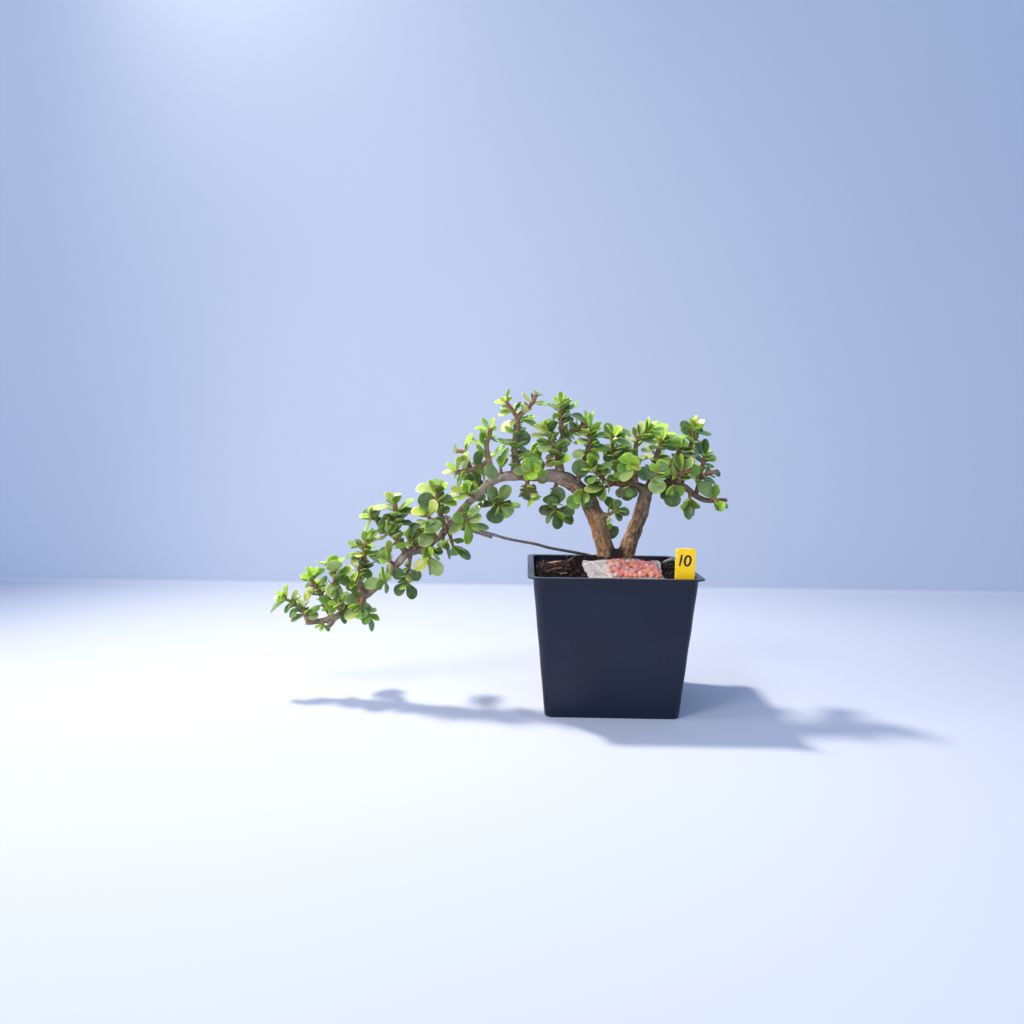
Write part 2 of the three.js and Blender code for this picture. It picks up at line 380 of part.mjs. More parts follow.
function joinAll(solids) {
  let layer = solids;
  while (layer.length > 1) {
    const next = [];
    for (let i = 0; i < layer.length; i += 2) {
      next.push(i + 1 < layer.length ? layer[i].add(layer[i + 1]) : layer[i]);
    }
    layer = next;
  }
  return layer[0];
}

// A solid's largest piece, with the loose scraps that a cut leaves dropped
function largestPiece(solid) {
  const pieces = solid.decompose();
  return pieces.reduce((best, piece) => (piece.volume() > best.volume() ? piece : best));
}

// A round limb through given points, each with a radius: a cylinder bent along them
function limb(points, sides) {
  const count = points.length - 1;
  const tube = new THREE.CylinderGeometry(1, 1, 1, sides, count);
  const position = tube.attributes.position;
  const side = new THREE.Vector3(0, -1, 0);
  const frames = points.map((point, i) => {
    const before = points[Math.max(i - 1, 0)].at;
    const after = points[Math.min(i + 1, count)].at;
    const along = after.clone().sub(before).normalize();
    const across = side.clone().cross(along).normalize();
    const up = along.clone().cross(across).normalize();
    return { across, up };
  });
  for (let i = 0; i < position.count; i += 1) {
    const ring = Math.round((position.getY(i) + 0.5) * count);
    const { at, radius } = points[ring];
    const { across, up } = frames[ring];
    const moved = at.clone();
    moved.addScaledVector(across, position.getX(i) * radius);
    moved.addScaledVector(up, -position.getZ(i) * radius);
    position.setXYZ(i, moved.x, moved.y, moved.z);
  }
  return toSolid(tube);
}

// Points of a limb from its list
function limbPoints(list, grow = 0) {
  return list.map(([x, z, y, radius]) => ({ at: place(x, z, y), radius: radius + grow }));
}

// One thick obovate leaf: a flat upper face, widest past its middle, and a keel point below it
const LEAF_STATIONS = [[0.42, 0.86], [0.82, 0.98]];
const KEEL_AT = 0.58;

function leafSolid({ root, tip, halfWidth, face }) {
  const along = tip.clone().sub(root);
  const across = along.clone().normalize().cross(face).normalize();
  const vertices = [root, tip];
  LEAF_STATIONS.forEach(([t, width]) => {
    [1, -1].forEach((sideways) => {
      const edge = root.clone().addScaledVector(along, t);
      vertices.push(edge.addScaledVector(across, sideways * halfWidth * width));
    });
  });
  vertices.push(root.clone().addScaledVector(along, KEEL_AT).addScaledVector(face, -LEAF_THICKNESS));
  const faces = [[0, 2, 3], [2, 4, 5], [2, 5, 3], [4, 1, 5]];
  const rim = [0, 2, 4, 1, 5, 3];
  rim.forEach((from, i) => faces.push([rim[(i + 1) % rim.length], from, 6]));
  const vertProperties = new Float32Array(vertices.flatMap((v) => [v.x, v.y, v.z]));
  const triVerts = new Uint32Array(faces.flat());
  return new wasm.Manifold(new wasm.Mesh({ numProp: 3, vertProperties, triVerts }));
}

// What a leaf must stay clear of: balls along every stem and on the leaves already grown
const CLEAR_STEM = 1.6;
const CLEAR_LEAF = 2.7;
const CLEAR_SISTER = 1.5;
const STEM_STEP = 1.5;
const stemBalls = [];
const leafBalls = [];

function addStemBalls(points, owner) {
  for (let i = 0; i + 1 < points.length; i += 1) {
    const length = points[i].at.distanceTo(points[i + 1].at);
    const count = Math.max(1, Math.ceil(length / STEM_STEP));
    for (let j = 0; j <= count; j += 1) {
      const at = points[i].at.clone().lerp(points[i + 1].at, j / count);
      const radius = points[i].radius + ((points[i + 1].radius - points[i].radius) * j) / count;
      stemBalls.push({ at, radius, owner });
    }
  }
}

// Sample points on a leaf: three across at each of three stations, and the tip
const SAMPLE_STATIONS = [[0.38, 0.5], [0.65, 0.8], [0.9, 0.6]];

function leafSamples(leaf) {
  const along = leaf.tip.clone().sub(leaf.root);
  const across = along.clone().normalize().cross(leaf.face).normalize();
  const samples = [{ at: leaf.tip.clone(), t: 1 }];
  SAMPLE_STATIONS.forEach(([t, width]) => {
    [-1, 0, 1].forEach((sideways) => {
      const at = leaf.root.clone().addScaledVector(along, t);
      at.addScaledVector(across, sideways * width * leaf.halfWidth);
      samples.push({ at, t });
    });
  });
  return samples;
}

function isClear(leaf, owner) {
  const samples = leafSamples(leaf);
  return samples.every(({ at, t }) => {
    const own = t > 0.5;
    const stems = stemBalls.every((ball) => {
      if (ball.owner === owner) {
        return !own || at.distanceTo(ball.at) > ball.radius + CLEAR_SISTER / 2;
      }
      return at.distanceTo(ball.at) > ball.radius + CLEAR_STEM;
    });
    return stems && leafBalls.every((ball) => {
      if (ball.owner === owner) {
        return !own || ball.t < 0.5 || at.distanceTo(ball.at) > CLEAR_SISTER;
      }
      return at.distanceTo(ball.at) > CLEAR_LEAF;
    });
  });
}

function keepLeaf(leaf, owner) {
  leafSamples(leaf).forEach((sample) => leafBalls.push({ ...sample, owner }));
}

// The way a leaf's upper face looks: turned about the leaf's own line from facing the viewer,
// by the angle that makes it look as wide as given
function faceOf(root, tip, looksWide, halfWidth, upwards) {
  const along = tip.clone().sub(root).normalize();
  const toEye = EYE.clone().sub(root).normalize();
  const facing = toEye.clone().addScaledVector(along, -toEye.dot(along)).normalize();
  const edgeOn = facing.clone().cross(along).normalize();
  if (edgeOn.z * upwards < 0) {
    edgeOn.negate();
  }
  const share = Math.min(1, looksWide / (2 * halfWidth));
  return facing.multiplyScalar(share).addScaledVector(edgeOn, Math.sqrt(1 - share * share)).normalize();
}

// A leaf that the list describes. Its depth is free, so where it would cross a neighbour it is
// bent nearer or farther until it is clear.
const DEPTH_TRIES = [0, 3, -3, 6, -6, 9, -9, 12, -12];

function listedLeaf(longest, roots, entry, owner) {
  const [from, x, z, lean, looksWide] = entry;
  const root = roots[from].clone();
  const flat = place(x, z, root.y).distanceTo(root);
  const length = Math.min(Math.max(longest, flat), LEAF_LONGEST);
  const reach = Math.sqrt(Math.max(0, length * length - flat * flat));
  for (const scale of [1, 0.85, 0.7]) {
    for (const shift of DEPTH_TRIES) {
      const depth = root.y + lean * reach * 0.8 + shift;
      let tip = place(x, z, depth);
      const span = tip.distanceTo(root);
      const kept = Math.min(1, LEAF_LONGEST / span) * scale;
      tip = root.clone().lerp(tip, kept);
      const halfWidth = Math.max(looksWide / 2, WIDTH_TO_LENGTH * Math.min(length, span) * 0.5) * scale;
      const leaf = { root, tip, halfWidth, face: faceOf(root, tip, looksWide * scale, halfWidth, 1) };
      if (isClear(leaf, owner)) {
        return leaf;
      }
    }
  }
  return null;
}

// Where a leaf's root lies in its stem: at the listed point, but sunk below the stem's cut end and
// out of the limb that the stem grows from
const SUNK = 1.6;
const OUT_OF_LIMB = 0.75;

function rootPlace(points, k) {
  if (k === 0) {
    return points[0].at.clone().lerp(points[1].at, OUT_OF_LIMB);
  }
  const back = k === points.length - 1 ? SUNK : 0;
  const along = points[k].at.clone().sub(points[k - 1].at).normalize();
  return points[k].at.clone().addScaledVector(along, -back);
}

function rootPlaces(stems) {
  return stems.flatMap((points) => points.map((point, k) => rootPlace(points, k)));
}

// Leaves that the front view doesn't list, at the angles given for each stem point: 90 points away
// from the viewer. Each is tried a few times with random changes, and kept where it is clear.
const FILL_TRIES = 4;
const FILL_SWAY = 50;

function fillLeaves(longest, stems, owner, anglesAt) {
  const random = seededRandom(owner + 1);
  const grown = [];
  stems.forEach((points) => {
    for (let k = 1; k < points.length; k += 1) {
      const along = points[k].at.clone().sub(points[k - 1].at).normalize();
      const away = new THREE.Vector3(0, 1, 0);
      away.addScaledVector(along, -away.dot(along)).normalize();
      const beside = along.clone().cross(away).normalize();
      anglesAt(k).forEach((angle) => {
        for (let attempt = 0; attempt < FILL_TRIES; attempt += 1) {
          const turn = ((angle + (random() - 0.5) * FILL_SWAY) * Math.PI) / 180;
          const rise = 0.25 + random() * 0.5;
          const length = Math.max(LEAF_SHORTEST, longest * (0.75 + random() * 0.25));
          const out = beside.clone().multiplyScalar(Math.cos(turn)).addScaledVector(away, Math.sin(turn));
          out.addScaledVector(along, rise).normalize();
          const root = rootPlace(points, k);
          const tip = root.clone().addScaledVector(out, length);
          const face = along.clone().addScaledVector(out, -along.dot(out)).normalize();
          const leaf = { root, tip, halfWidth: WIDTH_TO_LENGTH * length * 0.5, face };
          if (isClear(leaf, owner)) {
            keepLeaf(leaf, owner);
            grown.push(leaf);
            break;
          }
        }
      });
    }
  });
  return grown;
}

// Stems that leave the back of the trunks, as points like the listed ones
function backStem([, x, z, lean, rise, reach]) {
  const foot = place(x, z, 0);
  const list = [];
  const steps = 4;
  for (let i = 0; i <= steps; i += 1) {
    const t = i / steps;
    const at = foot.clone().add(new THREE.Vector3(lean * t, reach * (0.08 + 0.92 * t), rise * t * t));
    list.push({ at, radius: 2 - t });
  }
  return list;
}

// Grow every spray: stems first, so that all leaves keep clear of all stems
const trunkPoints = TRUNK_LIMBS.map((list) => limbPoints(list));
trunkPoints.forEach((points) => addStemBalls(points, -1));
const wirePoints = WIRE_POINTS.map(([x, z, y]) => place(x, z, y));
addStemBalls(wirePoints.map((at) => ({ at, radius: WIRE_RADIUS })), -2);

const grown = SPRAYS.map(([name, longest, lists, entries], owner) => {
  const stems = lists.map((list) => limbPoints(list));
  const roots = rootPlaces(stems);
  const anglesAt = (k) => (k % 2 === 0 ? [90] : []);
  return { name, longest, owner, stems, roots, entries, anglesAt, leaves: [] };
});
BACK_STEMS.forEach((entry, i) => {
  const anglesAt = (k) => (k % 2 === 0 ? [0, 180] : [90, 270]);
  const stems = [backStem(entry)];
  const owner = SPRAYS.length + i;
  grown.push({ name: entry[0], longest: 15, owner, stems, roots: [], entries: [], anglesAt, leaves: [] });
});
grown.forEach(({ stems, owner }) => stems.forEach((points) => addStemBalls(points, owner)));
grown.forEach(({ longest, roots, entries, owner, leaves }) => {
  entries.forEach((entry) => {
    const leaf = listedLeaf(longest, roots, entry, owner);
    if (leaf) {
      keepLeaf(leaf, owner);
      leaves.push(leaf);
    }
  });
});
grown.forEach(({ longest, stems, owner, anglesAt, leaves }) => {
  leaves.push(...fillLeaves(longest, stems, owner, anglesAt));
});

const group = new THREE.Group();

function addMesh(name, geometry, colour, roughness, metalness = 0) {
  const material = new THREE.MeshStandardMaterial({ color: colour, roughness, metalness });
  const mesh = new THREE.Mesh(geometry, material);
  mesh.name = name;
  group.add(mesh);
}

// A square with round corners, as a shape
function roundedSquare(half, corner) {
  const shape = new THREE.Shape();
  const inner = half - corner;
  shape.moveTo(-inner, -half);
  shape.lineTo(inner, -half);
  shape.absarc(inner, -inner, corner, -Math.PI / 2, 0);
  shape.lineTo(half, inner);
  shape.absarc(inner, inner, corner, 0, Math.PI / 2);
  shape.lineTo(-inner, half);
  shape.absarc(-inner, inner, corner, Math.PI / 2, Math.PI);
  shape.lineTo(-half, -inner);
  shape.absarc(-inner, -inner, corner, Math.PI, Math.PI * 1.5);
  return shape;
}

// A block on a rounded square that tapers from its foot to its top
function taperedBlock(halfFoot, halfTop, corner, low, high) {
  const options = { depth: high - low, bevelEnabled: false, curveSegments: 2 };
  const block = new THREE.ExtrudeGeometry(roundedSquare(halfFoot, corner), options);
  const position = block.attributes.position;
  for (let i = 0; i < position.count; i += 1) {
    const share = position.getZ(i) / (high - low);
    const scale = 1 + (halfTop / halfFoot - 1) * share;
    position.setXYZ(i, position.getX(i) * scale, position.getY(i) * scale, position.getZ(i) + low);
  }
  return toSolid(block);
}

// Pot: a tapered square cup with a flat rim and drain holes in its floor
function makePot() {
  const underRim = POT_HEIGHT - RIM_THICKNESS;
  const body = taperedBlock(POT_BASE / 2, POT_MOUTH / 2 + POT_WALL, BASE_CORNER, 0, underRim + 0.2);
  const rim = taperedBlock(POT_RIM / 2, POT_RIM / 2, RIM_CORNER, underRim, POT_HEIGHT);
  const hollow = taperedBlock(
    POT_BASE / 2 - POT_WALL, POT_MOUTH / 2 + 0.08, BASE_CORNER - POT_WALL, POT_FLOOR, POT_HEIGHT + 1);
  let pot = body.add(rim).subtract(hollow);
  [-1, 1].forEach((sx) => [-1, 1].forEach((sy) => {
    const drill = new THREE.CylinderGeometry(DRAIN_RADIUS, DRAIN_RADIUS, 3 * POT_FLOOR, 12);
    drill.rotateX(Math.PI / 2);
    drill.translate(sx * DRAIN_OFFSET, sy * DRAIN_OFFSET, POT_FLOOR / 2);
    pot = pot.subtract(toSolid(drill));
  }));
  return pot;
}

// Height of the soil without its bumps
function soilHeight(x, y) {
  const spreadY = y < 0 ? MOUND_FRONT : MOUND_BACK;
  const square = ((x - MOUND_X) / MOUND_SPREAD) ** 2 + (y / spreadY) ** 2;
  return SOIL_EDGE + MOUND_HEIGHT * Math.exp(-square);
}

// Soil: a block that fills the pot, with a mounded, bumpy top and plain holes for what stands in it
function makeSoil() {
  const low = POT_FLOOR + GAP;
  const wallAt = (z) => {
    const share = z / POT_HEIGHT;
    return POT_BASE / 2 - POT_WALL - GAP * 1.5 + (POT_MOUTH / 2 - POT_BASE / 2 + POT_WALL) * share;
  };
  const block = new THREE.BoxGeometry(2, 2, 1, SOIL_CELLS, SOIL_CELLS, 1);
  const position = block.attributes.position;
  const cornerCut = 0.965;
  for (let i = 0; i < position.count; i += 1) {
    const u = position.getX(i);
    const v = position.getY(i);
    const onTop = position.getZ(i) > 0;
    const inCorner = Math.abs(u) > 0.99 && Math.abs(v) > 0.99;
    const half = wallAt(onTop ? SOIL_EDGE - 2 : low) * (inCorner ? cornerCut : 1);
    const x = u * half;
    const y = v * half;
    const random = seededRandom(Math.round((u + 2) * 1000) * 37 + Math.round((v + 2) * 1000));
    random();
    const bump = onTop && Math.max(Math.abs(u), Math.abs(v)) < 0.99 ? (random() * 2 - 1) * SOIL_BUMP : 0;
    position.setXYZ(i, x, y, onTop ? soilHeight(x, y) + bump : low);
  }
  return toSolid(block);
}

// Root stump: the swollen foot of the two trunks, from its middle line outwards and upwards, as
// distance from the middle line and height
const STUMP_X = 6.5;
const STUMP_FLATNESS = 0.62;
const STUMP_SIDES = 12;
const STUMP_OUTLINE = [[0, 78], [10, 78], [15.6, 113], [14.6, 118], [9, 124], [0, 124]];
const STUMP_HOLE = [[0, 77.6], [10.5, 77.6], [16.6, 113], [16.6, 128], [0, 128]];

function stump(outline) {
  const profile = outline.map(([r, z]) => new THREE.Vector2(r, z));
  const post = new THREE.LatheGeometry(profile, STUMP_SIDES);
  post.rotateX(Math.PI / 2);
  post.scale(1, STUMP_FLATNESS, 1);
  post.translate(STUMP_X, 0, 0);
  return toSolid(post);
}

function makeTrunk(grow = 0) {
  const solids = TRUNK_LIMBS.map((list) => limb(limbPoints(list, grow), TRUNK_SIDES));
  return joinAll(solids);
}

// A stiff round wire through its points
function makeWire(radius) {
  const curve = new THREE.CatmullRomCurve3(wirePoints, false, "centripetal");
  const points = curve.getPoints(WIRE_STEPS).map((at) => ({ at, radius }));
  return limb(points, WIRE_SIDES);
}

// Label: a thin plate with round top corners and a pointed foot, leaning along the front wall
function makeLabel(grow) {
  const half = LABEL_WIDTH / 2 + grow;
  const top = LABEL_ABOVE_RIM;
  const low = LABEL_ABOVE_RIM - LABEL_LENGTH - grow;
  const outline = new THREE.Shape();
  outline.moveTo(-half, low + LABEL_TAPER);
  outline.lineTo(LABEL_FOOT_X, low);
  outline.lineTo(half, low + LABEL_TAPER);
  outline.lineTo(half, top - LABEL_CORNER);
  outline.absarc(half - LABEL_CORNER, top - LABEL_CORNER, LABEL_CORNER, 0, Math.PI / 2);
  outline.absarc(-half + LABEL_CORNER, top - LABEL_CORNER, LABEL_CORNER, Math.PI / 2, Math.PI);
  const depth = LABEL_THICKNESS + 2 * grow;
  const plate = new THREE.ExtrudeGeometry(outline, { depth, bevelEnabled: false, curveSegments: 3 });
  plate.translate(0, 0, -depth / 2);
  plate.rotateX(Math.PI / 2 + Math.atan((POT_MOUTH - POT_BASE) / 2 / POT_HEIGHT));
  const inset = LABEL_TO_WALL + LABEL_THICKNESS / 2;
  plate.translate(LABEL_X, inset - POT_MOUTH / 2, POT_HEIGHT);
  return toSolid(plate);
}

// Thickness of the sachet at a place across it, from 0 to 1 both ways: thin at its seams and in its
// empty left part
function sachetThickness(u, v) {
  const across = Math.sin(Math.PI * Math.min(1, Math.max(0, v))) ** 0.6;
  const filled = Math.min(1, Math.max(0, (u - 0.3) / 0.16));
  const end = Math.min(1, Math.max(0, 1 - u) / 0.12) ** 0.6;
  return SACHET_SEAM + (SACHET_THICKNESS - SACHET_SEAM) * across * (0.12 + 0.88 * filled * end);
}

// Height of the sachet's underside
function sachetRest(x, y) {
  return soilHeight(x, y) + SACHET_LIFT;
}

// A pillow over the soil's slope. thin is how far it stays inside the sachet's outside.
function sachetPillow(thin, marginLeft, margin) {
  const pillow = new THREE.BoxGeometry(1, 1, 1, SACHET_CELLS_X, SACHET_CELLS_Y, 1);
  const position = pillow.attributes.position;
  for (let i = 0; i < position.count; i += 1) {
    const u = position.getX(i) + 0.5;
    const v = position.getY(i) + 0.5;
    const x = SACHET_LEFT - marginLeft + (SACHET_RIGHT - SACHET_LEFT + marginLeft - margin) * u;
    const y = SACHET_FRONT + margin + (SACHET_BACK - SACHET_FRONT - 2 * margin) * v;
    const trueU = Math.min(1, Math.max(0, (x - SACHET_LEFT) / (SACHET_RIGHT - SACHET_LEFT)));
    const trueV = (y - SACHET_FRONT) / (SACHET_BACK - SACHET_FRONT);
    const rest = sachetRest(x, y);
    const z = position.getZ(i) > 0 ? rest + sachetThickness(trueU, trueV) - thin : rest + thin;
    position.setXYZ(i, x, y, z);
  }
  return toSolid(pillow);
}

// Granules: one heap inside the sachet, with a grain's round back raised at every second point
function makeGranules() {
  const heap = new THREE.BoxGeometry(1, 1, 1, GRANULE_CELLS_X, GRANULE_CELLS_Y, 1);
  const position = heap.attributes.position;
  for (let i = 0; i < position.count; i += 1) {
    const column = Math.round((position.getX(i) + 0.5) * GRANULE_CELLS_X);
    const row = Math.round((position.getY(i) + 0.5) * GRANULE_CELLS_Y);
    const random = seededRandom(column * 31 + row * 7 + 5);
    random();
    const sway = GRANULE_SWAY * (random() - 0.5);
    const u = HEAP_LEFT + ((HEAP_RIGHT - HEAP_LEFT) * column) / GRANULE_CELLS_X;
    const v = HEAP_FRONT + ((1 - 2 * HEAP_FRONT) * row) / GRANULE_CELLS_Y;
    const x = SACHET_LEFT + (SACHET_RIGHT - SACHET_LEFT) * u + sway;
    const y = SACHET_FRONT + (SACHET_BACK - SACHET_FRONT) * v - sway;
    const low = sachetRest(x, y) + SACHET_FILM + HEAP_CLEAR;
    const room = sachetThickness(u, v) - 2 * (SACHET_FILM + HEAP_CLEAR);
    const dip = (column + row) % 2 === 0 ? 0 : GRANULE_RISE * (0.7 + 0.6 * random());
    const top = Math.max(GRANULE_RISE, room - dip);
    position.setXYZ(i, x, y, position.getZ(i) > 0 ? low + Math.min(top, room) : low);
  }
  return toSolid(heap);
}

const pot = makePot();
const trunkLimbs = makeTrunk();
const trunk = trunkLimbs.add(stump(STUMP_OUTLINE));
const clearTrunk = makeTrunk(GAP);
const wire = makeWire(WIRE_RADIUS);
const label = makeLabel(0);
let soil = makeSoil();
soil = soil.subtract(stump(STUMP_HOLE)).subtract(makeWire(WIRE_RADIUS + GAP));
soil = soil.subtract(makeLabel(GAP));

addMesh("pot", toGeometry(pot), 0x23262d, 0.55);
addMesh("soil", toGeometry(largestPiece(soil)), 0x2a1d16, 0.95);
addMesh("trunk", toGeometry(trunk), 0x6e5846, 0.85);
addMesh("guy_wire", toGeometry(wire), 0x5a5550, 0.5, 0.6);
addMesh("number_label", toGeometry(label), 0xf2d012, 0.45);

const pocket = sachetPillow(SACHET_FILM, 3, 2);
const film = sachetPillow(0, 0, 0).subtract(pocket);
addMesh("sachet_film", toGeometry(largestPiece(film)), 0xd8dce0, 0.2);
addMesh("sachet_granules", toGeometry(makeGranules()), 0xc9776a, 0.7);

grown.forEach(({ name, stems, leaves }) => {
  const sides = (points) => (points[0].radius > THICK_STEM ? THICK_STEM_SIDES : THIN_STEM_SIDES);
  const stemSolids = stems.map((points) => limb(points, sides(points)));
  const joined = joinAll([...stemSolids, ...leaves.map(leafSolid)]);
  addMesh(name, toGeometry(largestPiece(joined.subtract(clearTrunk))), 0x5f8f3a, 0.6);
});

export default group;
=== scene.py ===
"""Looks of the cascade bonsai in its square pot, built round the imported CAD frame."""
import math

import bmesh
import bpy
import numpy as np
from mathutils import Matrix, Vector, noise


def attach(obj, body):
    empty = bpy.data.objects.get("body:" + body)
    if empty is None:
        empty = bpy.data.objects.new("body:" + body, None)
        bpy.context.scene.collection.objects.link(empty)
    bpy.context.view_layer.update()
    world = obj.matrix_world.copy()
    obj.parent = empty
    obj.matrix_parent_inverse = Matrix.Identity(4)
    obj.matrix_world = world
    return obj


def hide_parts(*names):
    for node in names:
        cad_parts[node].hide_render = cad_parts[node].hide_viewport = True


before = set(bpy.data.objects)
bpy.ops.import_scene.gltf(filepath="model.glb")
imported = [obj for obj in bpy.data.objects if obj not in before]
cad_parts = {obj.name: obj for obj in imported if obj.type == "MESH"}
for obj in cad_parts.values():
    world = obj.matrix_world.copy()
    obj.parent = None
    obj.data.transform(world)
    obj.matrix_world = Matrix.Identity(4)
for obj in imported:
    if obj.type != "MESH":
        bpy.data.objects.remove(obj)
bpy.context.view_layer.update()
MM = 0.001

# Camera: where the photograph was taken from, and how it looks
CAMERA_PLACE = (-66.17, -612.94, 199.95)
CAMERA_YAW = math.radians(1.106)
CAMERA_PITCH = math.radians(4.567)
CAMERA_ROLL = math.radians(0.590)
CAMERA_LENS = 26.85
CAMERA_SENSOR = 36


def make_camera():
    yaw, pitch, roll = CAMERA_YAW, CAMERA_PITCH, CAMERA_ROLL
    ahead = Vector((-math.sin(yaw) * math.cos(pitch), math.cos(yaw) * math.cos(pitch), -math.sin(pitch)))
    right = Vector((math.cos(yaw), math.sin(yaw), 0))
    up = right.cross(ahead)
    turned_right = math.cos(roll) * right + math.sin(roll) * up
    turned_up = math.cos(roll) * up - math.sin(roll) * right
    data = bpy.data.cameras.new("camera")
    data.lens = CAMERA_LENS
    data.sensor_width = CAMERA_SENSOR
    camera = bpy.data.objects.new("camera", data)
    bpy.context.scene.collection.objects.link(camera)
    turn = Matrix((turned_right, turned_up, -ahead)).transposed()
    camera.matrix_world = Matrix.Translation(Vector(CAMERA_PLACE) * MM) @ turn.to_4x4()
    bpy.context.scene.camera = camera


make_camera()

# Driving values shared with the CAD part, in millimetres
POT_HEIGHT = 108.4
POT_BASE = 101.7
POT_RIM = 130
POT_MOUTH = 119.4
POT_WALL = 1.3
POT_FLOOR = 2
RIM_THICKNESS = 1.3
DRAIN_RADIUS = 4.5
DRAIN_OFFSET = 34
SOIL_EDGE = 103
MOUND_HEIGHT = 14
MOUND_X = 6
MOUND_SPREAD = 46
MOUND_BACK = 40
MOUND_FRONT = 26
LEAF_LONGEST = 17.5
LEAF_SHORTEST = 6
WIDTH_TO_LENGTH = 0.7
WIRE_RADIUS = 0.9
LABEL_WIDTH = 14.5
LABEL_THICKNESS = 1
LABEL_X = 49.9
LABEL_ABOVE_RIM = 22.2
LABEL_LENGTH = 74
LABEL_TAPER = 45
LABEL_FOOT_X = -4
LABEL_TO_WALL = 1.8
SACHET_LEFT = -21.5
SACHET_RIGHT = 37.5
SACHET_BACK = -10.5
SACHET_FRONT = -51
SACHET_THICKNESS = 8.5
SACHET_SEAM = 2.2
SACHET_LIFT = 1.6
STUMP_X = 6.5
STUMP_FLATNESS = 0.62
STUMP_OUTLINE = [[0, 78], [10, 78], [15.6, 110], [13.2, 114], [9, 118], [5, 121.8], [0, 122.6]]

# The eye that the sight lines start from
EYE = np.array([-66.0, -613.0, 200.0])


def place(x, z, y):
    """A place on the sight line through x and z of the plane y = 0, at the depth y."""
    reach = (y - EYE[1]) / -EYE[1]
    return (np.array([x, 0.0, z]) - EYE) * reach + EYE


def seeded_random(seed):
    state = (seed * 7919 + 12345) % 4294967296
    while True:
        state = (state * 1664525 + 1013904223) % 4294967296
        yield state / 4294967296


def between(draw, low, high):
    return low + (high - low) * next(draw)


def unit(v):
    return v / math.sqrt(float(v @ v))


def square_to(way, base):
    """A direction, turned just far enough to be square to another."""
    return unit(way - base * float(way @ base))


# Thick branches, leafy stems and wire, as in the CAD part. A stem point is x, z, depth, radius. A
# leaf is the number of its stem point, x and z of its tip, its lean and how wide it looks. The
# letters give the tone of each leaf: dark, mid, grey, bright, pale, yellow or olive.
TRUNK_LIMBS = [
    # the cascade, from the soil over its bend and down to the left
    [[0, 106, 0, 7.6], [-2, 120, 0, 7.5], [-5, 130, 0, 7.1], [-8, 140, 0, 6.8], [-12, 150, 0, 7.3],
     [-16.5, 160, 0, 6.6], [-23, 169, 0, 6.3], [-32, 176, 0, 6.1], [-43, 180.5, 1, 5.8],
     [-56, 180.5, 2, 4.9], [-70, 180.5, 2, 4.3], [-84, 179.5, 0, 4], [-93, 176, 0, 3.7],
     [-100, 170.5, 0, 3.5], [-107, 164, 0, 3.2], [-113, 158, 0, 3], [-120, 150, 2, 3], [-127, 141, 4, 3],
     [-136, 131, 3, 3.2], [-150, 121, 1, 3.4], [-163, 116, 0, 3.4], [-171, 107.5, 0, 3.3],
     [-180, 96.5, 0, 3.2], [-190, 87, 0, 3.2], [-198, 80.5, 0, 3.3], [-210, 71, 0, 3.3], [-220, 64, 0, 3],
     [-230, 60.3, 0, 2.6], [-239, 58.7, 0, 2.3], [-246, 58, 0, 2]],
    # the right trunk, bending into its right branch with a cut end
    [[12, 106, 0, 7.2], [14.5, 120, 0, 6.9], [18, 130, 0, 6.3], [21.5, 140, 0, 6.1], [25, 150, 0, 5.9],
     [27.5, 160, 0, 5.6], [29.5, 167, 0, 5.2], [33, 172, 0, 4.4], [40, 174.5, 0, 3.5], [48, 176, 0, 3.1],
     [56, 174.5, 0, 2.8], [62, 171, 0, 2.6], [68, 166.5, 0, 2.4], [75, 162.8, 0, 2.2], [82, 161.8, 0, 2],
     [88, 162.4, 0, 1.8], [94, 162.6, 0, 1.8]],
    # its left branch
    [[29, 170, 0, 4], [20, 173.5, 0, 3.5], [12, 174.5, 0, 3], [3, 175.5, 2, 2.6], [-6, 176.5, 3, 2]],
    # cut stubs on the cascade and an old knot on the trunk
    [[-221, 63, 0, 2.2], [-225, 57.5, -1, 1.9], [-229, 53.5, -1, 1.8]],
    [[-162, 116, 0, 2.2], [-167, 110.5, -4, 1.8], [-172.5, 106.5, -6, 1.7]],
    [[-196, 82, -1, 2.2], [-200, 84.5, -4, 1.9], [-203, 85.5, -5, 1.8]],
    [[-10, 147.5, 0, 5.4], [-4, 148.5, -2, 3.4], [-1.5, 148.8, -2.5, 2.4]],
]

